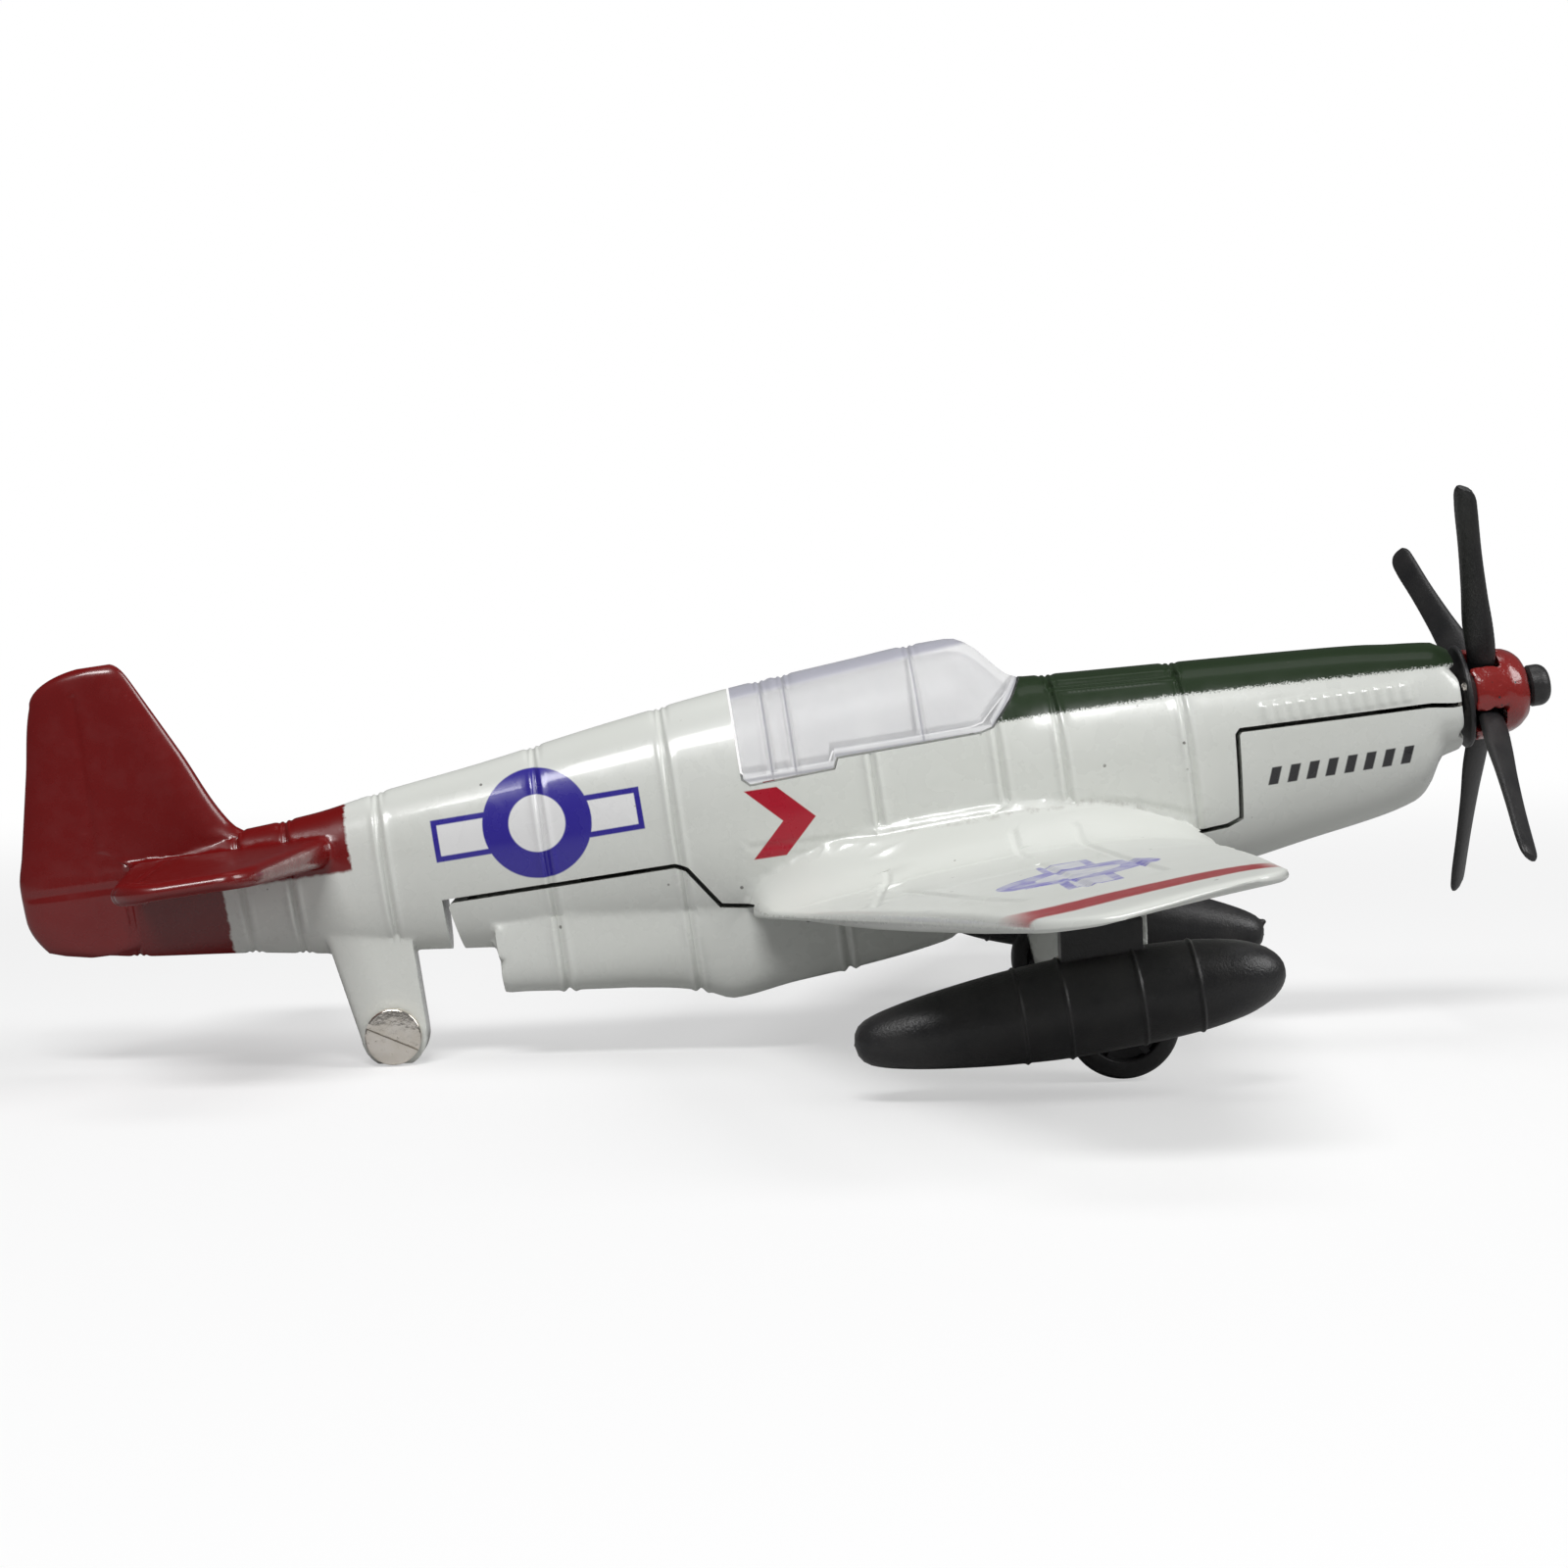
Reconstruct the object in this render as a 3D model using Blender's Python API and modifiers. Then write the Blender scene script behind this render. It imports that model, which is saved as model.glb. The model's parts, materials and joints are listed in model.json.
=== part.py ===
"""A die-cast model of a low-wing propeller fighter, at about 1:100, built from its separate pieces.

Every piece is drawn in the airframe's own axes, in millimetres: u runs forward along the thrust line,
y to port and w up, from the centre of the propeller hub. An empty holds those axes nose-up over the
ground, so that both wheels and the tail lug stand on z = 0.
"""

import math

import bmesh
import bpy
from mathutils import Vector

MM = 0.001
COLLECTION = "propeller_plane_model"

# Stance
PITCH = math.radians(7.0)
NOSE_TIP_U = 5.8
TAIL_END = (-93.96, 1.75)

# Fits between neighbouring pieces
SEAM = 0.15
SLIP = 0.12
WALL = 1.2

# Fuselage: u, top, bottom, half width, height of the widest point
FUSELAGE = (
    (-91.5, 2.6, -3.0, 0.70, 0.2),
    (-87.0, 3.1, -3.7, 0.95, 0.2),
    (-79.6, 3.4, -4.6, 1.70, 0.2),
    (-74.6, 3.75, -5.4, 2.20, 0.2),
    (-70.0, 4.5, -5.9, 2.65, 0.1),
    (-64.1, 5.25, -6.6, 3.20, 0.0),
    (-55.4, 6.6, -7.6, 4.00, -0.2),
    (-47.0, 7.7, -8.4, 4.50, -0.5),
    (-38.8, 8.4, -8.9, 4.70, -0.6),
    (-34.7, 8.72, -9.0, 4.70, -0.6),
    (-32.4, 8.75, -9.0, 4.68, -0.6),
    (-31.3, 8.3, -9.0, 4.65, -0.6),
    (-28.4, 5.65, -9.0, 4.60, -0.6),
    (-26.3, 5.5, -9.0, 4.55, -0.6),
    (-18.3, 5.05, -8.7, 4.35, -0.5),
    (-10.4, 4.6, -7.55, 4.10, -0.4),
    (-6.1, 4.3, -6.85, 3.92, -0.2),
    (-4.2, 4.07, -6.35, 3.82, -0.1),
    (-3.2, 3.98, -5.85, 3.76, 0.0),
    (-2.8, 3.94, -5.2, 3.74, 0.0),
    (-2.62, 3.92, -3.7, 3.72, 0.0),
    (-1.4, 3.75, -3.55, 3.62, 0.0),
    (-0.6, 3.3, -3.35, 3.30, 0.0),
)
FUSELAGE_SIDES = 28

# Radiator scoop under the belly: u, bottom, half width
SCOOP = (
    (-64.0, -9.6, 2.50),
    (-60.5, -9.95, 2.70),
    (-53.8, -10.8, 3.00),
    (-51.3, -11.4, 3.05),
    (-49.4, -12.15, 3.05),
    (-45.5, -11.7, 3.05),
    (-41.8, -11.4, 3.05),
    (-35.2, -10.5, 3.00),
    (-34.3, -10.1, 2.90),
)
SCOOP_TOP = -5.0
# Upright locating ribs of the lower casting: two ends along u, foot and crest
RIBS = ((-17.2, -5.7, -6.3, 1.5), (-53.9, -44.6, -7.7, -2.0), (-64.9, -58.1, -6.2, -1.9))
RIB_HALF_THICKNESS = 0.7
INTAKE = {"u": (-37.5, -33.0), "half_width": 2.1, "w": (-10.0, -9.3)}

# Lower edge of the glazing, from the windscreen's foot to the rear bulkhead
CANOPY_SILL = (
    (-28.3, 5.75),
    (-29.2, 4.5),
    (-30.7, 2.9),
    (-31.5, 2.7),
    (-40.75, 2.5),
    (-41.05, 1.85),
    (-46.4, 1.6),
    (-46.8, 2.0),
    (-46.9, 12.0),
    (-28.3, 12.0),
)
CANOPY_THICKNESS = 0.8
CANOPY_SPAN = (-47.6, -27.6)

# Joint line between the upper and lower castings, seen from the side
NOSE_SEAM = (
    (3.0, -0.3),
    (-1.2, -0.28),
    (-2.7, -0.05),
    (-15.05, 0.26),
    (-15.3, 0.0),
    (-15.7, -5.35),
    (-16.6, -5.7),
    (-19.6, -5.9),
    (-19.6, -15.0),
    (3.0, -15.0),
)
AFT_SEAM = (
    (-44.0, -6.3),
    (-47.9, -6.1),
    (-49.4, -5.85),
    (-51.2, -3.2),
    (-51.9, -2.85),
    (-66.85, -3.0),
    (-66.85, -15.0),
    (-44.0, -15.0),
)
SEAM_REACH = 4.75
BELLY_STRIP = {"u": (-49.5, -16.0), "half_width": 3.3, "top": -7.62}
CAVITY_SPAN = (-65.5, -3.0)
# Hollows of the upper casting: rear and front end, extra wall, and where they are cut flat. The cabin
# floor is what stays between the cockpit and the hollow below it.
CAVITIES = {
    "nose_cavity": (-27.1, -3.0, 0.0, {}),
    "aft_cavity": (-65.5, -48.6, 0.05, {}),
    "mid_cavity": (-50.0, -25.6, 0.3, {"highest": -1.6}),
    "cockpit": (-45.6, -31.7, 0.1, {"lowest": -0.4}),
}

# Wing: straight leading and trailing edges through the root station and the tip station
WING_ROOT = {"y": 5.0, "le": (-17.5, -7.2), "te": (-47.4, -6.65), "thickness": 3.85}
WING_TIP = {
    "y": 56.4, "le": (-21.25, -3.8), "te": (-33.1, -4.65), "thickness": 1.1, "thinning": 0.5, "lower": 0.45,
}
WING_STATIONS = (2.0, 4.2, 5.2, 6.4, 8.0, 10.5, 20.0, 36.0, 50.0, 53.0, 55.2, 56.1, 56.4)
WING_CORNER = 3.4
FILLET = {"start": 10.5, "rise": 3.3, "height": 4.2}
# Share of the fillet's height along the chord, from the leading edge
FILLET_SHARE = ((0.0, 0.4), (0.38, 1.0), (0.8, 1.3), (1.0, 1.3))
BLUNT_EDGE = 0.25
AIRFOIL_POINTS = 11

# Tailplane and fin
STAB_ROOT = {"y": 2.0, "le": (-73.6, 1.3), "te": (-86.6, 1.4), "thickness": 1.9}
STAB_TIP = {
    "y": 19.4, "le": (-76.4, 1.45), "te": (-84.9, 1.45), "thickness": 1.15, "thinning": 0.25, "lower": 1.0,
}
STAB_STATIONS = (0.6, 5.0, 12.0, 16.4, 18.2, 19.1, 19.4)
STAB_CORNER = 2.8
# w, leading edge, trailing edge, thickness
FIN = (
    (-3.3, -86.8, -90.4, 1.3),
    (-2.7, -84.0, -92.7, 1.5),
    (-0.3, -78.0, -93.9, 1.7),
    (1.75, -77.0, -93.96, 1.8),
    (3.9, -79.8, -93.5, 1.75),
    (9.0, -82.35, -92.4, 1.5),
    (13.2, -84.45, -91.5, 1.25),
    (14.6, -85.15, -90.1, 1.15),
    (15.3, -86.2, -87.6, 1.0),
)

# Tail lug and its slotted screw
TAIL_SCREW = (-71.5, -11.1)
TAIL_LUG = {"top": (-74.9, -69.4), "top_w": -4.0, "end_radius": 2.15, "half_thickness": 1.5}
TAIL_SCREW_HEAD = {"radius": 1.82, "thickness": 0.75}
TAIL_SCREW_SHANK = 0.8
TAIL_SLOT_TURN = math.radians(31.0)
TAIL_NUT = {"radius": 1.75, "thickness": 1.1}

# Propeller group
PIN_RADIUS = 0.6
PIN_BORE = 0.68
PIN_TAIL_U = -5.0
THRUST_WASHER = (-0.48, -0.27, 1.5)
BACKPLATE = {"radius": 3.35, "u": (-0.15, 0.2)}
HUB_DRUM = {"radius": 1.75, "end": 2.75}
SPINNER_PROFILE = (
    (2.98, 0.35), (2.95, 1.2), (2.86, 2.2), (2.7, 3.0), (2.42, 3.6), (1.95, 4.05), (1.5, 4.25),
)
BLADE_COUNT = 4
FIRST_BLADE = math.radians(35.5)
# radius, chord, thickness, pitch in degrees, centre along u
BLADE = (
    (1.2, 1.5, 1.10, 65.0, 1.35),
    (3.2, 1.9, 0.95, 62.0, 1.30),
    (5.5, 2.1, 0.85, 56.0, 1.05),
    (8.5, 1.85, 0.75, 48.0, 0.75),
    (12.0, 1.7, 0.68, 43.0, 0.40),
    (14.6, 1.75, 0.64, 41.0, 0.15),
    (15.9, 1.65, 0.58, 40.0, 0.05),
    (16.4, 1.2, 0.42, 40.0, 0.0),
)
BLADE_SIDES = 10
NOTCH_HALF_WIDTH = 0.8
NOTCH_DEPTH = 2.35
PIN_HEAD = {"radius": 1.35, "start": 4.4}

# Undercarriage
WHEEL = {"u": -26.62, "y": 18.0, "w": -14.99, "radius": 3.43, "half_width": 1.1}
AXLE_RADIUS = 0.55
AXLE_BORE = 0.61
LEG = {"y": (15.3, 16.5), "top_w": -7.3, "half_top": 2.7, "end_radius": 2.0}

# Drop tanks
# Both are the same moulding. Each turns about its peg's upright axis, and the left one is plugged in
# back to front. Its own axes start at the peg's foot: x towards its nose, z up.
PEG_FOOT = {"u": -26.25, "y": 25.0, "w": -8.92}
TANK = {"nose": (9.05, -2.45), "tilt": math.radians(8.3)}
TANK_LIFT = {"left": 0.4, "right": 0.0}
# distance from the nose, radius
TANK_PROFILE = (
    (0.0, 0.0),
    (0.35, 0.95),
    (1.2, 1.65),
    (2.8, 2.25),
    (5.5, 2.68),
    (9.0, 2.86),
    (12.5, 2.9),
    (16.0, 2.72),
    (19.5, 2.35),
    (22.6, 1.85),
    (24.4, 1.35),
    (25.1, 0.8),
    (25.3, 0.0),
)
PYLON = {"x": (-4.0, 0.75), "half_width": 0.95, "foot": -4.2, "top": 0.95, "peg": 0.7, "peg_top": 2.2}

# Belly screws: u, underside of the head, tip of the thread
BELLY_SCREWS = {"front_belly_screw": (-21.5, -8.35, -4.2), "rear_belly_screw": (-56.0, -8.6, -3.4)}
SCREW = {"head": 1.15, "head_thickness": 0.55, "shank": 0.6, "post": 1.7}


def clear_scene():
    for existing in list(bpy.data.objects):
        bpy.data.objects.remove(existing, do_unlink=True)


def new_collection(name):
    collection = bpy.data.collections.new(name)
    bpy.context.scene.collection.children.link(collection)
    return collection


def new_material(name, color, roughness, metallic=0.0, alpha=1.0):
    material = bpy.data.materials.new(name)
    material.use_nodes = True
    shader = material.node_tree.nodes["Principled BSDF"]
    shader.inputs["Base Color"].default_value = (*color, 1.0)
    shader.inputs["Roughness"].default_value = roughness
    shader.inputs["Metallic"].default_value = metallic
    shader.inputs["Alpha"].default_value = alpha
    return material


clear_scene()
PARTS = new_collection(COLLECTION)
CUTTERS = new_collection("cutters")
WHITE_PAINT = new_material("white_paint", (0.62, 0.63, 0.60), 0.25)
CLEAR = new_material("clear_plastic", (0.93, 0.93, 0.96), 0.05, alpha=0.3)
BLACK = new_material("black_plastic", (0.02, 0.02, 0.022), 0.45)
RED_PAINT = new_material("red_paint", (0.20, 0.012, 0.012), 0.25)
STEEL = new_material("plated_steel", (0.55, 0.52, 0.48), 0.25, 1.0)


def add_airframe_axes():
    """The empty at the propeller hub. Its height stands the wheels on z = 0."""
    sin, cos = math.sin(PITCH), math.cos(PITCH)
    height = WHEEL["radius"] - (WHEEL["u"] * sin + WHEEL["w"] * cos)
    nose_x = NOSE_TIP_U * cos
    tail_x = TAIL_END[0] * cos - TAIL_END[1] * sin
    empty = bpy.data.objects.new("airframe_axes", None)
    empty.location = (-(nose_x + tail_x) / 2 * MM, 0.0, height * MM)
    empty.rotation_euler = (0.0, -PITCH, 0.0)
    PARTS.objects.link(empty)
    return empty


AXES = add_airframe_axes()


def add_tank_axes(side, sign):
    """The upright axes that a drop tank turns about, at the foot of its peg."""
    empty = bpy.data.objects.new(f"{side}_tank_axes", None)
    empty.parent = AXES
    empty.location = Vector((PEG_FOOT["u"], sign * PEG_FOOT["y"], PEG_FOOT["w"] + TANK_LIFT[side])) * MM
    empty.rotation_euler = (0.0, -PITCH, math.pi) if side == "left" else (0.0, PITCH, 0.0)
    PARTS.objects.link(empty)
    return empty


TANK_AXES = {"left": add_tank_axes("left", 1), "right": add_tank_axes("right", -1)}


def add_object(name, mesh, material=None, at=(0.0, 0.0, 0.0), turn=(0.0, 0.0, 0.0), parent=AXES):
    """An object in the airframe's axes, or in its parent's. Without a material it is a cutter."""
    placed = bpy.data.objects.new(name, mesh)
    placed.parent = parent
    placed.location = Vector(at) * MM
    placed.rotation_euler = turn
    if material is None:
        CUTTERS.objects.link(placed)
        placed.hide_render = True
        placed.display_type = "WIRE"
    else:
        PARTS.objects.link(placed)
        mesh.materials.append(material)
    return placed


def boolean(target, operand, operation="DIFFERENCE"):
    modifier = target.modifiers.new(operation.lower(), "BOOLEAN")
    modifier.operation = operation
    modifier.object = operand
    modifier.solver = "EXACT"


def smooth(placed, angle=40.0):
    placed.data.shade_smooth()
    placed.data.set_sharp_from_angle(angle=math.radians(angle))


def finish_mesh(work, name):
    bmesh.ops.recalc_face_normals(work, faces=work.faces)
    mesh = bpy.data.meshes.new(name)
    work.to_mesh(mesh)
    work.free()
    return mesh


def loft_mesh(name, rings):
    """A closed skin through rings of equally many (u, y, w) points."""
    work = bmesh.new()
    rows = [[work.verts.new(Vector(point) * MM) for point in ring] for ring in rings]
    count = len(rows[0])
    for front, back in zip(rows, rows[1:]):
        for i in range(count):
            j = (i + 1) % count
            work.faces.new((front[i], front[j], back[j], back[i]))
    work.faces.new(rows[0])
    work.faces.new(reversed(rows[-1]))
    return finish_mesh(work, name)


def prism_mesh(name, outline, y_low, y_high):
    """A (u, w) outline carried across from y_low to y_high."""
    work = bmesh.new()
    face = work.faces.new([work.verts.new(Vector((u, y_low, w)) * MM) for u, w in outline])
    grown = bmesh.ops.extrude_face_region(work, geom=[face])["geom"]
    moved = [item for item in grown if isinstance(item, bmesh.types.BMVert)]
    bmesh.ops.translate(work, verts=moved, vec=Vector((0.0, (y_high - y_low) * MM, 0.0)))
    return finish_mesh(work, name)


def box_mesh(name, low, high):
    work = bmesh.new()
    bmesh.ops.create_cube(work, size=1.0)
    size = Vector(high) - Vector(low)
    centre = (Vector(high) + Vector(low)) / 2
    bmesh.ops.scale(work, verts=work.verts, vec=size * MM)
    bmesh.ops.translate(work, verts=work.verts, vec=centre * MM)
    return finish_mesh(work, name)


def rod_mesh(name, radius, low, high, sides=20):
    """A cylinder along its own z, from low to high."""
    work = bmesh.new()
    size = {"radius1": radius * MM, "radius2": radius * MM, "depth": (high - low) * MM}
    bmesh.ops.create_cone(work, cap_ends=True, segments=sides, **size)
    bmesh.ops.translate(work, verts=work.verts, vec=Vector((0.0, 0.0, (low + high) / 2 * MM)))
    return finish_mesh(work, name)


def turned(name, profile, material, at, turn, steps=24, closed=False, parent=AXES):
    """A (radius, height) profile, run down its outer side, turned about the object's z."""
    mesh = bpy.data.meshes.new(name)
    points = [(radius * MM, 0.0, height * MM) for radius, height in profile]
    edges = [(i, i + 1) for i in range(len(points) - 1)]
    if closed:
        edges.append((len(points) - 1, 0))
    mesh.from_pydata(points, edges, [])
    placed = add_object(name, mesh, material, at, turn, parent)
    screw = placed.modifiers.new("turn", "SCREW")
    screw.steps = steps
    screw.render_steps = steps
    screw.use_merge_vertices = True
    screw.merge_threshold = 0.000002
    screw.use_smooth_shade = True
    return placed


def offset_outline(outline, distance):
    """The outline with every edge moved outward by distance."""
    count = len(outline)
    area = sum(
        outline[i][0] * outline[(i + 1) % count][1] - outline[(i + 1) % count][0] * outline[i][1]
        for i in range(count)
    )
    side = 1.0 if area > 0 else -1.0
    moved = []
    for i in range(count):
        here = Vector(outline[i])
        before = (here - Vector(outline[i - 1])).normalized()
        after = (Vector(outline[(i + 1) % count]) - here).normalized()
        normal_before = Vector((before.y, -before.x)) * side
        normal_after = Vector((after.y, -after.x)) * side
        bisector = (normal_before + normal_after).normalized()
        moved.append(tuple(here + bisector * (distance / max(0.3, bisector.dot(normal_after)))))
    return moved


def interpolate(table, u):
    """The table's row at u, on smooth curves through its rows."""
    last = len(table) - 1
    k = max(0, min(last - 1, sum(1 for row in table[1:] if row[0] <= u)))
    low, high = table[k], table[k + 1]
    span = high[0] - low[0]
    t = min(1.0, max(0.0, (u - low[0]) / span))
    return tuple(hermite(table, k, column, t, span) for column in range(1, len(low)))


def slope(table, k, column):
    """A slope at row k that keeps the curve between its rows."""
    if k in (0, len(table) - 1):
        return 0.0
    left = (table[k][column] - table[k - 1][column]) / (table[k][0] - table[k - 1][0])
    right = (table[k + 1][column] - table[k][column]) / (table[k + 1][0] - table[k][0])
    if left * right <= 0.0:
        return 0.0
    return 2.0 * left * right / (left + right)


def hermite(table, k, column, t, span):
    start, end = table[k][column], table[k + 1][column]
    tangent_start = slope(table, k, column) * span
    tangent_end = slope(table, k + 1, column) * span
    return (
        (2 * t**3 - 3 * t**2 + 1) * start
        + (t**3 - 2 * t**2 + t) * tangent_start
        + (3 * t**2 - 2 * t**3) * end
        + (t**3 - t**2) * tangent_end
    )


def fuselage_ring(u, inset=0.0, lowest=-99.0, highest=99.0):
    """The fuselage's oval section at u, drawn in by inset and cut flat at two heights."""
    top, bottom, half_width, middle = interpolate(FUSELAGE, u)
    ring = []
    for i in range(FUSELAGE_SIDES):
        angle = 2 * math.pi * i / FUSELAGE_SIDES
        across, up = math.cos(angle), math.sin(angle)
        reach = (top if up > 0 else bottom) - middle
        y = (half_width - inset) * math.copysign(abs(across) ** 0.92, across)
        w = middle + (reach - math.copysign(inset, reach)) * abs(up) ** 0.96
        ring.append((u, y, min(highest, max(lowest, w))))
    return ring


def stations_between(table, low, high):
    """The table's stations inside a span, with its two ends and one station halfway between each pair."""
    inside = [row[0] for row in table if low < row[0] < high]
    marks = [low, *inside, high]
    halves = [(a + b) / 2 for a, b in zip(marks, marks[1:]) if b - a > 2.5]
    return sorted(marks + halves)


def fuselage_mesh(name, low, high, **limits):
    return loft_mesh(name, [fuselage_ring(u, **limits) for u in stations_between(FUSELAGE, low, high)])


def scoop_mesh():
    rings = []
    for u in stations_between(SCOOP, SCOOP[0][0], SCOOP[-1][0]):
        bottom, half_width = interpolate(SCOOP, u)
        depth = SCOOP_TOP - bottom
        ring = [(u, -half_width, SCOOP_TOP), (u, half_width, SCOOP_TOP)]
        for i in range(13):
            angle = math.pi * i / 12
            y = half_width * math.copysign(abs(math.cos(angle)) ** 0.6, math.cos(angle))
            ring.append((u, y, SCOOP_TOP - 1.0 - (depth - 1.0) * math.sin(angle) ** 0.6))
        rings.append(ring)
    return loft_mesh("scoop", rings)


def airfoil(le, te, thickness, crown=0.0, lower=1.0):
    """(u, w) points round a rounded section between two edge points.

    Crown raises the upper side for the root fillet, and lower makes the lower side shallower.
    """
    half = []
    for i in range(AIRFOIL_POINTS):
        x = (1 - math.cos(math.pi * i / (AIRFOIL_POINTS - 1))) / 2
        bulge = 2.969 * math.sqrt(x) - 1.26 * x - 3.516 * x**2 + 2.843 * x**3 - 1.015 * x**4
        half.append((x, max(bulge * thickness / 2, BLUNT_EDGE * min(1.0, i))))
    points = []
    for side, run in ((1, reversed(half)), (-1, half[1:])):
        for x, h in run:
            if side > 0:
                height = h + crown * interpolate(FILLET_SHARE, x)[0] * (4 * x * (1 - x)) ** 0.5
            else:
                height = -h * lower
            u = le[0] + (te[0] - le[0]) * x
            points.append((u, le[1] + (te[1] - le[1]) * x + height))
    return points


def surface_ring(root, tip, corner, y, crown=0.0):
    """A wing section at y, with the tip's two corners rounded off in plan."""
    t = (abs(y) - root["y"]) / (tip["y"] - root["y"])
    le = [a + (b - a) * t for a, b in zip(root["le"], tip["le"])]
    te = [a + (b - a) * t for a, b in zip(root["te"], tip["te"])]
    thickness = root["thickness"] + (tip["thickness"] - root["thickness"]) * t
    into = max(0.0, abs(y) - (tip["y"] - corner)) / corner
    drawn = 1.0 - math.sqrt(max(0.0, 1.0 - min(1.0, into) ** 2))
    le[0] -= corner * 0.7 * drawn
    te[0] += corner * drawn
    thickness *= 1.0 - tip["thinning"] * drawn
    outboard = min(1.0, max(0.0, 2.0 * t - 0.9))
    lower = 1.0 + (tip["lower"] - 1.0) * outboard
    return [(u, y, w) for u, w in airfoil(le, te, thickness, crown, lower)]


def wing_mesh():
    rings = []
    for y in [-y for y in reversed(WING_STATIONS)] + list(WING_STATIONS):
        inboard = max(0.0, FILLET["start"] - max(abs(y), WING_ROOT["y"] - 1.0))
        crown = FILLET["height"] * (inboard / (FILLET["start"] - WING_ROOT["y"] + 1.0)) ** FILLET["rise"]
        rings.append(surface_ring(WING_ROOT, WING_TIP, WING_CORNER, y, crown))
    return loft_mesh("wing", rings)


def tailplane_mesh():
    spread = [-y for y in reversed(STAB_STATIONS)] + list(STAB_STATIONS)
    return loft_mesh("tailplane", [surface_ring(STAB_ROOT, STAB_TIP, STAB_CORNER, y) for y in spread])


def fin_mesh():
    rings = []
    for w, le, te, thickness in FIN:
        rings.append([(u, h, w) for u, h in airfoil((le, 0.0), (te, 0.0), thickness)])
    return loft_mesh("fin", rings)


def round_ended_outline(top_u, top_w, centre, radius, parts=10):
    """A tapering arm: a straight top edge, and a round end about a centre."""
    points = [(max(top_u), top_w), (min(top_u), top_w)]
    for i in range(parts + 1):
        angle = math.pi + math.pi * i / parts
        points.append((centre[0] + radius * math.cos(angle), centre[1] + radius * math.sin(angle)))
    return points


def lower_space(grow, suffix):
    """The space of the lower casting, larger or smaller by grow: nose, belly strip and aft stretch."""
    strip = BELLY_STRIP
    nose_outline, aft_outline = offset_outline(NOSE_SEAM, grow), offset_outline(AFT_SEAM, grow)
    nose_form = prism_mesh("nose_space", nose_outline, -SEAM_REACH, SEAM_REACH)
    aft_form = prism_mesh("aft_space", aft_outline, -SEAM_REACH, SEAM_REACH)
    nose = add_object(f"nose_space_{suffix}", nose_form)
    aft = add_object(f"aft_space_{suffix}", aft_form)
    half = strip["half_width"] + grow
    low = (strip["u"][0], -half, -15.0)
    high = (strip["u"][1], half, strip["top"] + grow)
    boolean(nose, add_object(f"belly_space_{suffix}", box_mesh("belly_space", low, high)), "UNION")
    boolean(nose, aft, "UNION")
    return nose


def across(name, radius, u, w, y_low, y_high):
    """A round cutter along y."""
    mesh = rod_mesh(name, radius, y_low, y_high)
    return add_object(name, mesh, at=(u, 0.0, w), turn=(-math.pi / 2, 0.0, 0.0))


def upright(name, radius, u, y, low, high):
    """A round cutter along w."""
    return add_object(name, rod_mesh(name, radius, low, high), at=(u, y, 0.0))


def add_shared_cutters():
    """The cavity and the holes that both castings share."""
    pin_bore = rod_mesh("pin_bore", PIN_BORE, PIN_TAIL_U, 3.0)
    cutters = {"pin_bore": add_object("pin_bore", pin_bore, turn=(0.0, math.pi / 2, 0.0))}
    cavity = fuselage_mesh("whole_cavity", *CAVITY_SPAN, inset=WALL)
    cutters["cavity"] = add_object("whole_cavity", cavity)
    for name, (u, seat, tip) in BELLY_SCREWS.items():
        head, shank = SCREW["head"] + SLIP, SCREW["shank"] + SLIP
        cutters[f"{name}_head"] = upright(f"{name}_recess", head, u, 0.0, -15.0, seat + SLIP)
        cutters[f"{name}_shank"] = upright(f"{name}_hole", shank, u, 0.0, -15.0, tip + SLIP)
    return cutters


def add_upper_casting(shared):
    """Fuselage shell, wing, fin, tailplane and tail lug, cast as one."""
    body = fuselage_mesh("upper_casting", FUSELAGE[0][0], FUSELAGE[-1][0])
    casting = add_object("upper_casting", body, WHITE_PAINT)
    boolean(casting, add_object("wing_form", wing_mesh()), "UNION")
    boolean(casting, add_object("tailplane_form", tailplane_mesh()), "UNION")
    boolean(casting, add_object("fin_form", fin_mesh()), "UNION")
    lug = round_ended_outline(TAIL_LUG["top"], TAIL_LUG["top_w"], TAIL_SCREW, TAIL_LUG["end_radius"])
    half = TAIL_LUG["half_thickness"]
    boolean(casting, add_object("tail_lug_form", prism_mesh("tail_lug", lug, -half, half)), "UNION")

    boolean(casting, shared["pin_bore"])
    for name, (low, high, extra, limits) in CAVITIES.items():
        cavity = fuselage_mesh(name, low, high, inset=WALL + extra, **limits)
        boolean(casting, add_object(name, cavity))
    glazing = prism_mesh("glazing_space", offset_outline(CANOPY_SILL, SEAM), -8.0, 8.0)
    boolean(casting, add_object("glazing_space", glazing))

    for name, (u, _, tip) in BELLY_SCREWS.items():
        low = BELLY_STRIP["top"] + SEAM if "front" in name else -5.6
        boolean(casting, upright(f"{name}_post", SCREW["post"], u, 0.0, low, 4.4), "UNION")
    boolean(casting, lower_space(SEAM, "outer"))
    for name in BELLY_SCREWS:
        boolean(casting, shared[f"{name}_shank"])
    boolean(casting, across("tail_screw_bore", TAIL_SCREW_SHANK + SLIP, *TAIL_SCREW, -3.0, 3.0))
    cut_underwing_seats(casting)
    cut_ground_flat(casting)
    return casting


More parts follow.
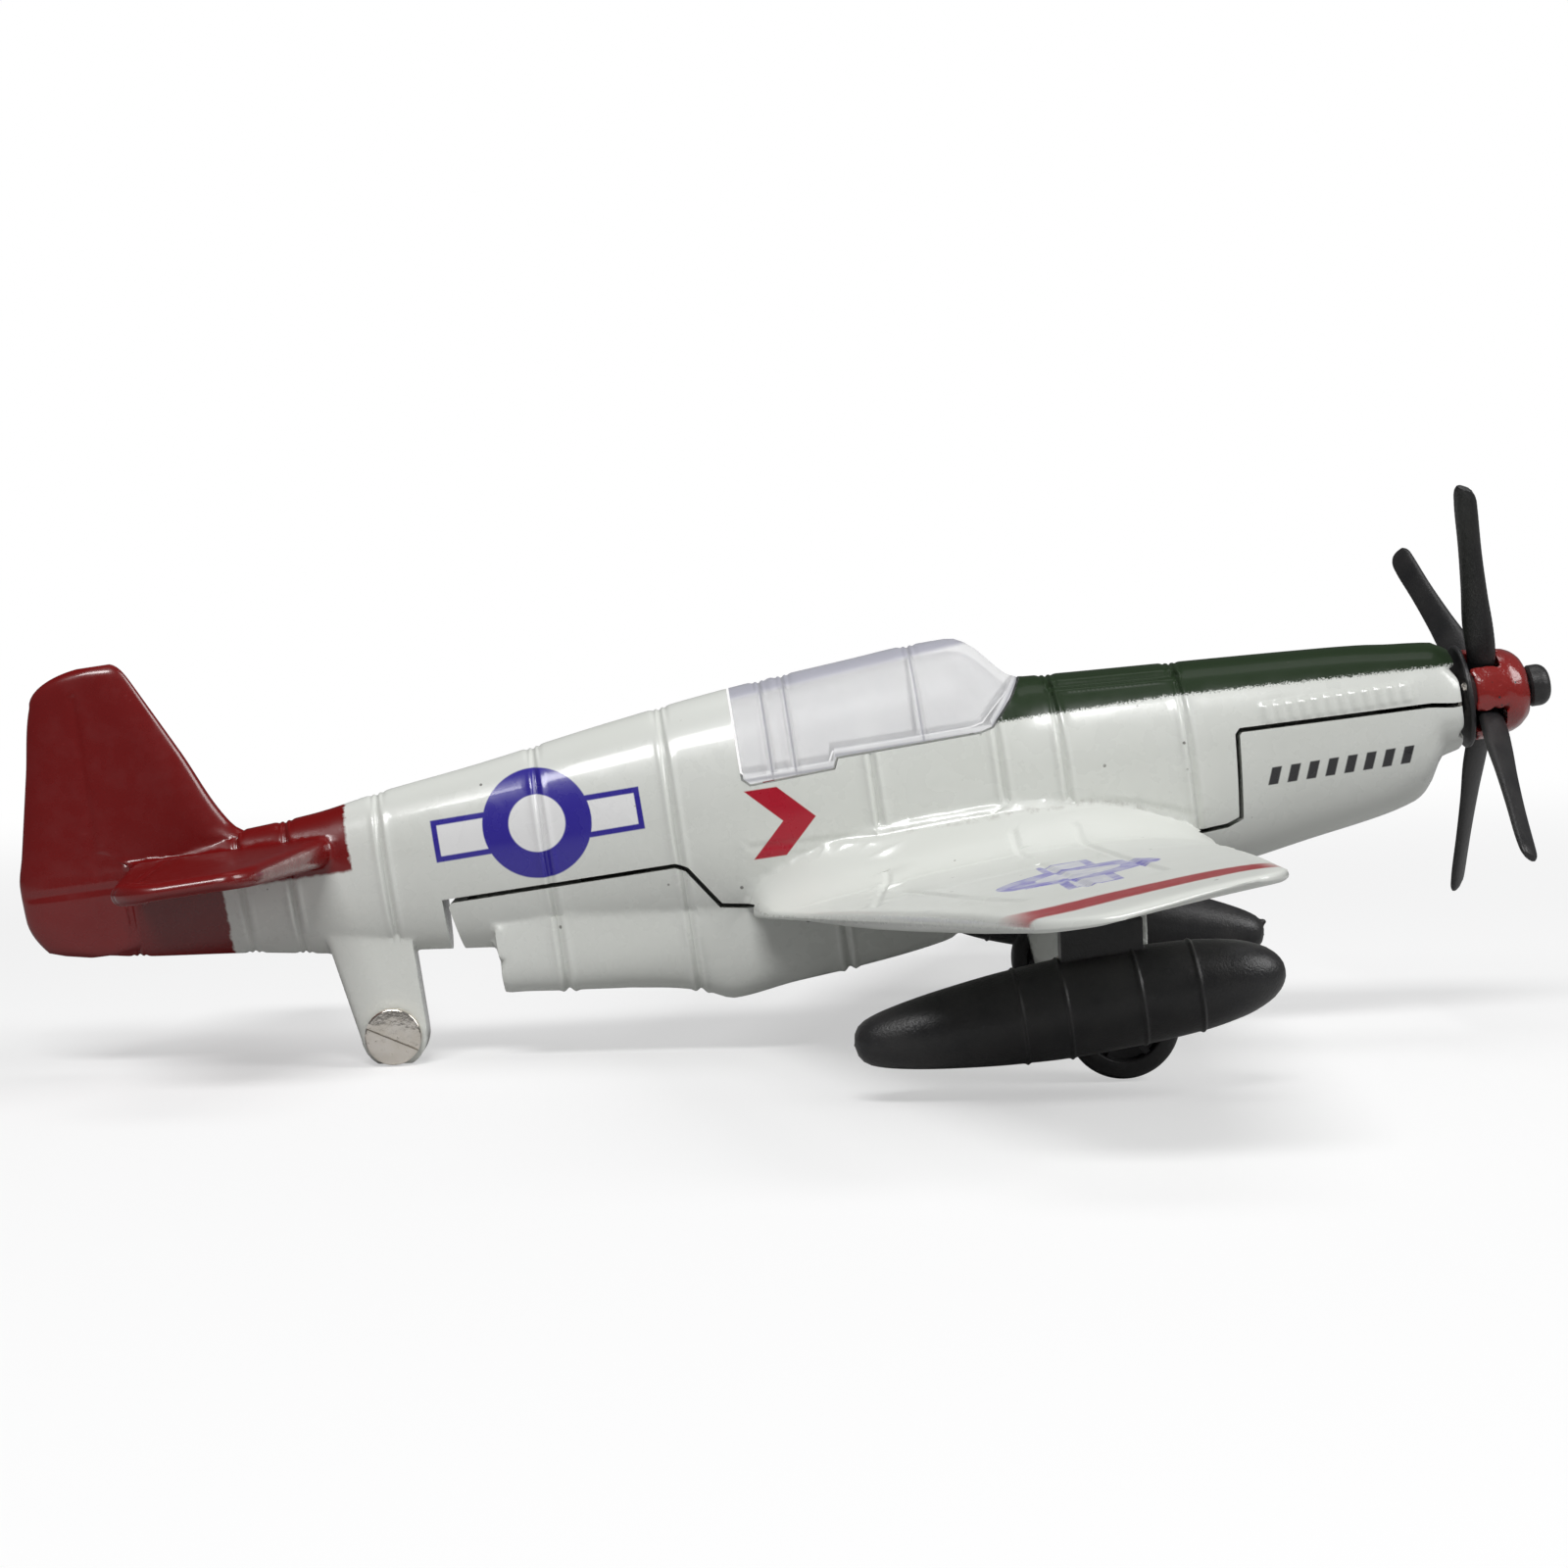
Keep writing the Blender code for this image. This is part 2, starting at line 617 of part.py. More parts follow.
def cut_underwing_seats(casting):
    """The slots that hold the gear legs, and the blind holes that hold the tank pegs."""
    for side, sign in (("left", 1), ("right", -1)):
        outline = offset_outline(leg_outline(), SLIP)
        faces = sorted((sign * (LEG["y"][0] - SLIP), sign * (LEG["y"][1] + SLIP)))
        boolean(casting, add_object(f"{side}_leg_slot", prism_mesh("leg_slot", outline, *faces)))
        hole = rod_mesh("peg_hole", PYLON["peg"] + SLIP, 0.0, PYLON["peg_top"] + SLIP)
        boolean(casting, add_object(f"{side}_peg_hole", hole, parent=TANK_AXES[side]))


def cut_ground_flat(casting):
    """The lug's foot ends flat on the ground that the wheels stand on."""
    ground = box_mesh("ground", (-60.0, -10.0, -5.0), (0.0, 10.0, 0.0))
    flat = bpy.data.objects.new("ground_flat", ground)
    CUTTERS.objects.link(flat)
    flat.hide_render = True
    flat.display_type = "WIRE"
    boolean(casting, flat)


def add_lower_casting(shared):
    """The chin, the belly strip between the wing roots and the radiator scoop, cast as one."""
    body = fuselage_mesh("lower_casting", -70.0, FUSELAGE[-1][0])
    casting = add_object("lower_casting", body, WHITE_PAINT)
    boolean(casting, add_object("scoop_form", scoop_mesh()), "UNION")
    boolean(casting, lower_space(-SEAM, "inner"), "INTERSECT")
    boolean(casting, shared["cavity"])
    for i, (back, front, foot, crest) in enumerate(RIBS):
        rib = box_mesh("rib", (back, -RIB_HALF_THICKNESS, foot), (front, RIB_HALF_THICKNESS, crest))
        boolean(casting, add_object(f"rib_form_{i}", rib), "UNION")
    rear_u, rear_seat, _ = BELLY_SCREWS["rear_belly_screw"]
    boolean(casting, upright("rear_boss", SCREW["post"], rear_u, 0.0, rear_seat - 0.4, -5.9), "UNION")
    low = (INTAKE["u"][0], -INTAKE["half_width"], INTAKE["w"][0])
    high = (INTAKE["u"][1], INTAKE["half_width"], INTAKE["w"][1])
    boolean(casting, add_object("intake_space", box_mesh("intake", low, high)))
    boolean(casting, shared["pin_bore"])
    for name in BELLY_SCREWS:
        boolean(casting, shared[f"{name}_head"])
        boolean(casting, shared[f"{name}_shank"])
    return casting


def add_canopy():
    """The clear moulding that closes the cockpit."""
    canopy = add_object("canopy", fuselage_mesh("canopy", *CANOPY_SPAN), CLEAR)
    glazing = prism_mesh("glazing_outline", CANOPY_SILL, -8.0, 8.0)
    boolean(canopy, add_object("glazing_outline", glazing), "INTERSECT")
    back, front = CANOPY_SPAN
    hollow = fuselage_mesh("glazing_hollow", back - 1.0, front + 1.0, inset=CANOPY_THICKNESS)
    boolean(canopy, add_object("glazing_hollow", hollow))
    return canopy


def rim(centre, radius, start, end, parts):
    """Points of an arc about (radius, height) centre, from one angle to another."""
    angles = [math.radians(start + (end - start) * i / parts) for i in range(parts + 1)]
    return [(centre[0] + radius * math.cos(a), centre[1] + radius * math.sin(a)) for a in angles]


def blade_mesh(angle):
    """One twisted blade at an angle about the thrust line, from the upright towards port."""
    radial = Vector((0.0, math.sin(angle), math.cos(angle)))
    sideways = Vector((0.0, math.cos(angle), -math.sin(angle)))
    forward = Vector((1.0, 0.0, 0.0))
    rings = []
    for radius, chord, thickness, pitch, centre in BLADE:
        along = sideways * math.cos(math.radians(pitch)) - forward * math.sin(math.radians(pitch))
        through = forward * math.cos(math.radians(pitch)) + sideways * math.sin(math.radians(pitch))
        ring = []
        for i in range(BLADE_SIDES):
            a = 2 * math.pi * i / BLADE_SIDES
            offset = along * (chord / 2 * math.cos(a)) + through * (thickness / 2 * math.sin(a))
            ring.append(tuple(radial * radius + forward * centre + offset))
        rings.append(ring)
    return loft_mesh("blade", rings)


def blade_angles():
    return [math.pi * 2 * i / BLADE_COUNT - FIRST_BLADE for i in range(BLADE_COUNT)]


def add_propeller():
    """Backplate, hub drum and four blades, moulded as one."""
    plate, drum = BACKPLATE, HUB_DRUM
    profile = [
        (PIN_BORE, drum["end"]),
        (drum["radius"], drum["end"]),
        (drum["radius"], plate["u"][1]),
        (plate["radius"] - 0.1, plate["u"][1]),
        (plate["radius"], plate["u"][1] - 0.1),
        (plate["radius"], plate["u"][0] + 0.1),
        (plate["radius"] - 0.1, plate["u"][0]),
        (PIN_BORE, plate["u"][0]),
    ]
    turn = (0.0, math.pi / 2, 0.0)
    propeller = turned("propeller", profile, BLACK, (0.0, 0.0, 0.0), turn, steps=28, closed=True)
    for i, angle in enumerate(blade_angles()):
        boolean(propeller, add_object(f"blade_form_{i}", blade_mesh(angle)), "UNION")
    bore = add_object("propeller_bore", rod_mesh("bore", PIN_BORE, -2.0, 4.0), turn=turn)
    boolean(propeller, bore)
    return propeller


def add_spinner():
    """The red shell over the hub, notched at its back edge for the blade roots."""
    front = SPINNER_PROFILE[-1]
    inner = HUB_DRUM["radius"] + SLIP
    depth = HUB_DRUM["end"] + SLIP
    back = SPINNER_PROFILE[0][1]
    outer = [(radius, u) for radius, u in reversed(SPINNER_PROFILE)]
    profile = [(PIN_BORE, front[1]), *outer, (inner, back), (inner, depth), (PIN_BORE, depth)]
    turn = (0.0, math.pi / 2, 0.0)
    spinner = turned("spinner", profile, RED_PAINT, (0.0, 0.0, 0.0), turn, steps=28, closed=True)
    for i, angle in enumerate(blade_angles()):
        low, high = (0.0, -NOTCH_HALF_WIDTH, 1.0), (NOTCH_DEPTH, NOTCH_HALF_WIDTH, 5.0)
        notch = box_mesh("notch", low, high)
        boolean(spinner, add_object(f"spinner_notch_{i}", notch, turn=(-angle, 0.0, 0.0)))
    return spinner


def add_pin_and_washers():
    """The fixed pin that the propeller turns on, its lock washer inside the nose and its thrust washer."""
    start, radius = PIN_HEAD["start"], PIN_HEAD["radius"]
    tip = NOSE_TIP_U
    dome = [(0.0, tip), *rim((radius - 0.75, tip - 0.75), 0.75, 90, 0, 4), (radius, start + 0.1)]
    end = PIN_TAIL_U + 0.2
    profile = [*dome, (radius - 0.1, start), (PIN_RADIUS, start), (PIN_RADIUS, end), (0.0, end)]
    turn = (0.0, math.pi / 2, 0.0)
    turned("propeller_pin", profile, BLACK, (0.0, 0.0, 0.0), turn, steps=20)
    hole = PIN_RADIUS + 0.04
    wall = CAVITY_SPAN[1]
    washer = [(hole, wall - SLIP), (1.6, wall - SLIP), (1.6, wall - 0.45), (hole, wall - 0.45)]
    turned("pin_lock_washer", washer, STEEL, (0.0, 0.0, 0.0), turn, steps=20, closed=True)
    back, front, radius = THRUST_WASHER
    ring = [(PIN_BORE, front), (radius, front), (radius, back), (PIN_BORE, back)]
    turned("thrust_washer", ring, STEEL, (0.0, 0.0, 0.0), turn, steps=20, closed=True)


def add_tail_screw():
    """The slotted screw through the tail lug, and the round nut on its far side."""
    u, w = TAIL_SCREW
    head, half = TAIL_SCREW_HEAD, TAIL_LUG["half_thickness"] + SLIP
    top = half + head["thickness"]
    face = [(0.0, top), (head["radius"] - 0.15, top), (head["radius"], top - 0.15), (head["radius"], half)]
    profile = [*face, (TAIL_SCREW_SHANK, half), (TAIL_SCREW_SHANK, -half - 0.8), (0.0, -half - 0.8)]
    turn = (math.pi / 2, 0.0, 0.0)
    screw = turned("tail_screw", profile, STEEL, (u, 0.0, w), turn, steps=28)
    slot = box_mesh("tail_screw_slot", (-3.0, -top - 1.0, -0.2), (3.0, -top + 0.35, 0.2))
    slope_down = (0.0, TAIL_SLOT_TURN, 0.0)
    boolean(screw, add_object("tail_screw_slot", slot, at=(u, 0.0, w), turn=slope_down))
    hole = TAIL_SCREW_SHANK + 0.05
    radius, far = TAIL_NUT["radius"], half + TAIL_NUT["thickness"]
    nut = [(hole, far), (radius - 0.2, far), (radius, far - 0.2), (radius, half), (hole, half)]
    turned("tail_nut", nut, STEEL, (u, 0.0, w), (-math.pi / 2, 0.0, 0.0), steps=24, closed=True)


def add_belly_screws():
    """Two screws that hold the lower casting up to the upper casting's posts."""
    for name, (u, seat, tip) in BELLY_SCREWS.items():
        head, thickness, shank = SCREW["head"], SCREW["head_thickness"], SCREW["shank"]
        top = [(0.0, tip - SLIP), (shank, tip - SLIP - 0.3), (shank, seat)]
        face = seat - thickness
        bottom = [(head, seat), (head, face + 0.1), (head - 0.1, face), (0.0, face)]
        screw = turned(name, top + bottom, STEEL, (u, 0.0, 0.0), (0.0, 0.0, 0.0), steps=18)
        slot = box_mesh("slot", (-2.0, -0.15, face - 1.0), (2.0, 0.15, face + 0.25))
        boolean(screw, add_object(f"{name}_slot", slot, at=(u, 0.0, 0.0)))


def leg_outline():
    top = (WHEEL["u"] - LEG["half_top"], WHEEL["u"] + LEG["half_top"])
    return round_ended_outline(top, LEG["top_w"], (WHEEL["u"], WHEEL["w"]), LEG["end_radius"])


def add_wheel_set(side, sign):
    """One gear leg, the axle pin pressed into it, and the wheel that rolls on the pin."""
    centre = (WHEEL["u"], sign * WHEEL["y"], WHEEL["w"])
    outward = (-sign * math.pi / 2, 0.0, 0.0)
    radius, half = WHEEL["radius"], WHEEL["half_width"]

    faces = sorted((sign * LEG["y"][0], sign * LEG["y"][1]))
    leg = add_object(f"{side}_gear_leg", prism_mesh("gear_leg", leg_outline(), *faces), WHITE_PAINT)
    boolean(leg, across(f"{side}_axle_bore", AXLE_RADIUS + 0.04, WHEEL["u"], WHEEL["w"], -20.0, 20.0))

    hub = [(AXLE_BORE, half - 0.2), (1.2, half - 0.2), (1.45, half - 0.6), (2.2, half - 0.6), (2.35, half)]
    tread = rim((radius - 0.45, half - 0.45), 0.45, 90, 0, 3)
    tread += rim((radius - 0.45, 0.45 - half), 0.45, 0, -90, 3)
    inner = [(2.35, -half), (2.2, 0.6 - half), (1.45, 0.6 - half), (1.2, -half), (AXLE_BORE, -half)]
    turned(f"{side}_wheel", hub + tread + inner, BLACK, centre, outward, steps=36, closed=True)

    start = half + SLIP
    inboard = -(WHEEL["y"] - LEG["y"][0]) + 0.1
    head = [(0.0, start + 0.45), (0.7, start + 0.4), (0.95, start + 0.2), (0.95, start)]
    shank = [(AXLE_RADIUS, start), (AXLE_RADIUS, inboard), (0.0, inboard)]
    turned(f"{side}_axle_pin", head + shank, STEEL, centre, outward, steps=18)


def add_drop_tank(side):
    """A drop tank moulded with its pylon and the peg that holds it in the wing."""
    axes = TANK_AXES[side]
    profile = [(radius, -distance) for distance, radius in TANK_PROFILE]
    nose_x, nose_z = TANK["nose"]
    turn = (0.0, math.pi / 2 - TANK["tilt"], 0.0)
    tank = turned(f"{side}_drop_tank", profile, BLACK, (nose_x, 0.0, nose_z), turn, steps=26, parent=axes)
    low = (PYLON["x"][0], -PYLON["half_width"], PYLON["foot"])
    high = (PYLON["x"][1], PYLON["half_width"], PYLON["top"])
    boolean(tank, add_object(f"{side}_pylon_form", box_mesh("pylon", low, high), parent=axes), "UNION")
    peg = rod_mesh("peg", PYLON["peg"], PYLON["top"] - 1.0, PYLON["peg_top"])
    boolean(tank, add_object(f"{side}_peg_form", peg, parent=axes), "UNION")
    return tank


def main():
    shared = add_shared_cutters()
    smooth(add_upper_casting(shared))
    smooth(add_lower_casting(shared))
    smooth(add_canopy())
    add_propeller()
    add_spinner()
    add_pin_and_washers()
    add_tail_screw()
    add_belly_screws()
    for side, sign in (("left", 1), ("right", -1)):
        add_wheel_set(side, sign)
        add_drop_tank(side)


main()
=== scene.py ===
"""Looks of a die-cast model of a low-wing propeller fighter.

The pieces are drawn in the airframe's own axes, in millimetres: u runs forward along the thrust line,
y to port and w up, from the centre of the propeller hub. AIRFRAME places those axes in the shared frame.
"""

import json
import math

import bpy
import numpy as np
from mathutils import Matrix, Vector
from mathutils.kdtree import KDTree


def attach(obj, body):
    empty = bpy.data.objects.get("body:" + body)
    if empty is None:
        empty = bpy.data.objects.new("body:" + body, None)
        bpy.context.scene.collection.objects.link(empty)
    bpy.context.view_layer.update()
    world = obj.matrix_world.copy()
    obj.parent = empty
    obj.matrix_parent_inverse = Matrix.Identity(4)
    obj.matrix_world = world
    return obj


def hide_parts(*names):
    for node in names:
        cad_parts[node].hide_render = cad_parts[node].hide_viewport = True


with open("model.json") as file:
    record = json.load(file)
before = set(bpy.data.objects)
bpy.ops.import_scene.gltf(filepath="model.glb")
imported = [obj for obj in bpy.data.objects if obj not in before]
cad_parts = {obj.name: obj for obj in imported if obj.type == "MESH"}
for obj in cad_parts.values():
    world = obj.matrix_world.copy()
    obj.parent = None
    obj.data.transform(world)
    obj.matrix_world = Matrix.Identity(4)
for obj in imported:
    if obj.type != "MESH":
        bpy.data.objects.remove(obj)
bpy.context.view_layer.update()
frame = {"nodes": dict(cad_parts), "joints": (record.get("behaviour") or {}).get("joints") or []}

NODES = frame["nodes"]
MM = 0.001
PITCH = math.radians(7.0)
NOSE_TIP_U = 5.8
HUB = Vector(next(joint["pos_m"] for joint in frame["joints"] if joint["name"] == "propeller_spin"))
AIRFRAME = Matrix.Translation(HUB) @ Matrix.Rotation(-PITCH, 4, "Y")

# Fits between neighbouring pieces
SEAM = 0.15
SLIP = 0.12
WALL = 1.2

# Fuselage: u, top, bottom, half width, height of the widest point
FUSELAGE = (
    (-91.5, 2.6, -3.0, 0.70, 0.2),
    (-87.0, 3.1, -3.7, 0.95, 0.2),
    (-79.6, 3.4, -4.6, 1.70, 0.2),
    (-74.6, 3.75, -5.4, 2.20, 0.2),
    (-70.0, 4.5, -5.9, 2.65, 0.1),
    (-64.1, 5.25, -6.6, 3.20, 0.0),
    (-55.4, 6.6, -7.6, 4.00, -0.2),
    (-47.0, 7.7, -8.4, 4.50, -0.5),
    (-38.8, 8.4, -8.9, 4.70, -0.6),
    (-34.7, 8.72, -9.0, 4.70, -0.6),
    (-32.4, 8.75, -9.0, 4.68, -0.6),
    (-31.3, 8.3, -9.0, 4.65, -0.6),
    (-28.4, 5.65, -9.0, 4.60, -0.6),
    (-26.3, 5.5, -9.0, 4.55, -0.6),
    (-18.3, 5.05, -8.7, 4.35, -0.5),
    (-10.4, 4.6, -7.55, 4.10, -0.4),
    (-6.1, 4.3, -6.85, 3.92, -0.2),
    (-4.2, 4.07, -6.35, 3.82, -0.1),
    (-3.2, 3.98, -5.85, 3.76, 0.0),
    (-2.8, 3.94, -5.2, 3.74, 0.0),
    (-2.62, 3.92, -3.7, 3.72, 0.0),
    (-1.4, 3.75, -3.55, 3.62, 0.0),
    (-0.6, 3.3, -3.35, 3.30, 0.0),
)
FUSELAGE_SIDES = 88
# Sections are ellipses with fuller shoulders: powers below 1 fill them out
SIDE_POWER = 0.92
TOP_POWER = 0.96
SCOOP_POWER = 0.6

# Radiator scoop under the belly: u, bottom, half width
SCOOP = (
    (-64.0, -9.6, 2.50),
    (-60.5, -9.95, 2.70),
    (-53.8, -10.8, 3.00),
    (-51.3, -11.4, 3.05),
    (-49.4, -12.15, 3.05),
    (-45.5, -11.7, 3.05),
    (-41.8, -11.4, 3.05),
    (-35.2, -10.5, 3.00),
    (-34.3, -10.1, 2.90),
)
SCOOP_TOP = -5.0
# Upright locating ribs of the lower casting: two ends along u, foot and crest
RIBS = ((-17.2, -5.7, -6.3, 1.5), (-53.9, -44.6, -7.7, -2.0), (-64.9, -58.1, -6.2, -1.9))
RIB_HALF_THICKNESS = 0.7
INTAKE = {"u": (-37.5, -33.0), "half_width": 2.1, "w": (-10.0, -9.3)}

# Lower edge of the glazing, from the windscreen's foot to the rear bulkhead
CANOPY_SILL = (
    (-28.3, 5.75),
    (-29.2, 4.5),
    (-30.7, 2.9),
    (-31.5, 2.7),
    (-40.75, 2.5),
    (-41.05, 1.85),
    (-46.4, 1.6),
    (-46.8, 2.0),
    (-46.9, 12.0),
    (-28.3, 12.0),
)
CANOPY_THICKNESS = 0.8
CANOPY_SPAN = (-47.6, -27.6)

# Joint line between the upper and lower castings, seen from the side
NOSE_SEAM = (
    (3.0, -0.3),
    (-1.2, -0.28),
    (-2.7, -0.05),
    (-15.05, 0.26),
    (-15.3, 0.0),
    (-15.7, -5.35),
    (-16.6, -5.7),
    (-19.6, -5.9),
    (-19.6, -15.0),
    (3.0, -15.0),
)
AFT_SEAM = (
    (-44.0, -6.3),
    (-47.9, -6.1),
    (-49.4, -5.85),
    (-51.2, -3.2),
    (-51.9, -2.85),
    (-66.85, -3.0),
    (-66.85, -15.0),
    (-44.0, -15.0),
)
SEAM_REACH = 4.75
# Half width of the forms that cut right across the body
CUT_REACH = 8.0
BELLY_STRIP = {"u": (-49.5, -16.0), "half_width": 3.3, "top": -7.62}
CAVITY_SPAN = (-65.5, -3.0)
# Hollows of the upper casting: rear and front end, extra wall, and where they are cut flat. The cabin
# floor is what stays between the cockpit and the hollow below it.
CAVITIES = {
    "nose_cavity": (-27.1, -3.0, 0.0, {}),
    "aft_cavity": (-65.5, -48.6, 0.05, {}),
    "mid_cavity": (-50.0, -25.6, 0.3, {"highest": -1.6}),
    "cockpit": (-45.6, -31.7, 0.1, {"lowest": -0.4}),
}

# Wing: straight leading and trailing edges through the root station and the tip station
WING_ROOT = {"y": 5.0, "le": (-17.5, -7.2), "te": (-47.4, -6.65), "thickness": 3.85}
WING_TIP = {
    "y": 56.4, "le": (-21.25, -3.8), "te": (-33.1, -4.65), "thickness": 1.1, "thinning": 0.5, "lower": 0.45,
}
WING_CORNER = 3.4
FILLET = {"start": 10.5, "rise": 3.3, "height": 4.2}
# Share of the fillet's height along the chord, from the leading edge
FILLET_SHARE = ((0.0, 0.4), (0.38, 1.0), (0.8, 1.3), (1.0, 1.3))
BLUNT_EDGE = 0.25
AIRFOIL_POINTS = 26

# Tailplane and fin
STAB_ROOT = {"y": 2.0, "le": (-73.6, 1.3), "te": (-86.6, 1.4), "thickness": 1.9}
STAB_TIP = {
    "y": 19.4, "le": (-76.4, 1.45), "te": (-84.9, 1.45), "thickness": 1.15, "thinning": 0.25, "lower": 1.0,
}
STAB_CORNER = 2.8
# w, leading edge, trailing edge, thickness
FIN = (
    (-3.3, -86.8, -90.4, 1.3),
    (-2.7, -84.0, -92.7, 1.5),
    (-0.3, -78.0, -93.9, 1.7),
    (1.75, -77.0, -93.96, 1.8),
    (3.9, -79.8, -93.5, 1.75),
    (9.0, -82.35, -92.4, 1.5),
    (13.2, -84.45, -91.5, 1.25),
    (14.6, -85.15, -90.1, 1.15),
    (15.3, -86.2, -87.6, 1.0),
)

# Tail lug and its slotted screw
TAIL_SCREW = (-71.5, -11.1)
TAIL_LUG = {"top": (-74.9, -69.4), "top_w": -4.0, "end_radius": 2.15, "half_thickness": 1.5}
TAIL_SCREW_HEAD = {"radius": 1.82, "thickness": 0.75}
TAIL_SCREW_SHANK = 0.8
TAIL_SLOT = {"half_width": 0.2, "depth": 0.35, "turn": math.radians(31.0)}

# Propeller, spinner and the pin that they turn on
PIN_RADIUS = 0.6
PIN_BORE = 0.68
PIN_TAIL_U = -5.0
BACKPLATE = {"radius": 3.35, "u": (-0.15, 0.2)}
HUB_DRUM = {"radius": 1.75, "end": 2.75}
SPINNER_PROFILE = (
    (2.98, 0.35), (2.95, 1.2), (2.86, 2.2), (2.7, 3.0), (2.42, 3.6), (1.95, 4.05), (1.5, 4.25),
)
BLADE_COUNT = 4
FIRST_BLADE = math.radians(35.5)
# radius, chord, thickness, pitch in degrees, centre along u
BLADE = (
    (1.2, 1.5, 1.10, 65.0, 1.35),
    (3.2, 1.9, 0.95, 62.0, 1.30),
    (5.5, 2.1, 0.85, 56.0, 1.05),
    (8.5, 1.85, 0.75, 48.0, 0.75),
    (12.0, 1.7, 0.68, 43.0, 0.40),
    (14.6, 1.75, 0.64, 41.0, 0.15),
    (15.9, 1.65, 0.58, 40.0, 0.05),
    (16.4, 1.2, 0.42, 40.0, 0.0),
)
BLADE_SIDES = 24
NOTCH_HALF_WIDTH = 0.8
NOTCH_DEPTH = 2.35
PIN_HEAD = {"radius": 1.35, "start": 4.4}

# Undercarriage
WHEEL = {"u": -26.62, "y": 18.0, "w": -14.99, "radius": 3.43, "half_width": 1.1}
AXLE_RADIUS = 0.55
AXLE_BORE = 0.61
LEG = {"y": (15.3, 16.5), "top_w": -7.3, "half_top": 2.7, "end_radius": 2.0}

# Drop tanks
# Both are the same moulding, and the left one is plugged in back to front. A tank's own axes start at the
# foot of its peg: x towards its nose, z up.
PEG_FOOT = {"u": -26.25, "y": 25.0, "w": -8.92}
TANK = {"nose": (9.05, -2.45), "tilt": math.radians(8.3)}
TANK_LIFT = {"left": 0.4, "right": 0.0}
# distance from the nose, radius
TANK_PROFILE = (
    (0.0, 0.0),
    (0.35, 0.95),
    (1.2, 1.65),
    (2.8, 2.25),
    (5.5, 2.68),
    (9.0, 2.86),
    (12.5, 2.9),
    (16.0, 2.72),
    (19.5, 2.35),
    (22.6, 1.85),
    (24.4, 1.35),
    (25.1, 0.8),
    (25.3, 0.0),
)
PYLON = {"x": (-4.0, 0.75), "half_width": 0.95, "foot": -4.2, "top": 0.95, "peg": 0.7, "peg_top": 2.2}

# Belly screws: u, underside of the head, tip of the thread
BELLY_SCREWS = {"front_belly_screw": (-21.5, -8.35, -4.2), "rear_belly_screw": (-56.0, -8.6, -3.4)}
SCREW = {"head": 1.15, "head_thickness": 0.55, "shank": 0.6, "post": 1.7}

# Small features of the moulded pieces
CANOPY_FRAMES = (-44.9, -43.4, -35.1)
SILL_RIM = 0.42
EDGE_RADIUS = 0.4
# The lower casting's rear end, which leans forward below the seam
SLOPED_END = ((-66.35, -2.99), (-66.65, -3.08), (-66.8, -3.4), (-64.9, -15.0), (-44.0, -15.0))
WHEEL_SPOKES = 6
TANK_BANDS = (5.3, 8.7, 13.0, 15.6)
BAND_STATIONS = (-0.2, -0.15, -0.1, -0.05, 0.0, 0.05, 0.1, 0.15, 0.2)
BAND_HEIGHT = 0.11
BAND_HALF_WIDTH = 0.11
# The moulding pip at the left tank's tail
PIP_AT = (-15.75, 0.0, -5.3)
PIP_TURN = math.radians(-50.0)


def offset_outline(outline, distance):
    """The outline with every edge moved outward by distance."""
    count = len(outline)
    area = sum(
        outline[i][0] * outline[(i + 1) % count][1] - outline[(i + 1) % count][0] * outline[i][1]
        for i in range(count)
    )
    side = 1.0 if area > 0 else -1.0
    moved = []
    for i in range(count):
        here = Vector(outline[i])
        before = (here - Vector(outline[i - 1])).normalized()
        after = (Vector(outline[(i + 1) % count]) - here).normalized()
        normal_before = Vector((before.y, -before.x)) * side
        normal_after = Vector((after.y, -after.x)) * side
        bisector = (normal_before + normal_after).normalized()
        moved.append(tuple(here + bisector * (distance / max(0.3, bisector.dot(normal_after)))))
    return moved


def interpolate(table, u):
    """The table's row at u, on smooth curves through its rows."""
    last = len(table) - 1
    k = max(0, min(last - 1, sum(1 for row in table[1:] if row[0] <= u)))
    low, high = table[k], table[k + 1]
    span = high[0] - low[0]
    t = min(1.0, max(0.0, (u - low[0]) / span))
    return tuple(hermite(table, k, column, t, span) for column in range(1, len(low)))


def slope(table, k, column):
    """A slope at row k that keeps the curve between its rows."""
    if k in (0, len(table) - 1):
        return 0.0
    left = (table[k][column] - table[k - 1][column]) / (table[k][0] - table[k - 1][0])
    right = (table[k + 1][column] - table[k][column]) / (table[k + 1][0] - table[k][0])
    if left * right <= 0.0:
        return 0.0
    return 2.0 * left * right / (left + right)


def hermite(table, k, column, t, span):
    start, end = table[k][column], table[k + 1][column]
    tangent_start = slope(table, k, column) * span
    tangent_end = slope(table, k + 1, column) * span
    return (
        (2 * t**3 - 3 * t**2 + 1) * start
        + (t**3 - 2 * t**2 + t) * tangent_start
        + (3 * t**2 - 2 * t**3) * end
        + (t**3 - t**2) * tangent_end
    )


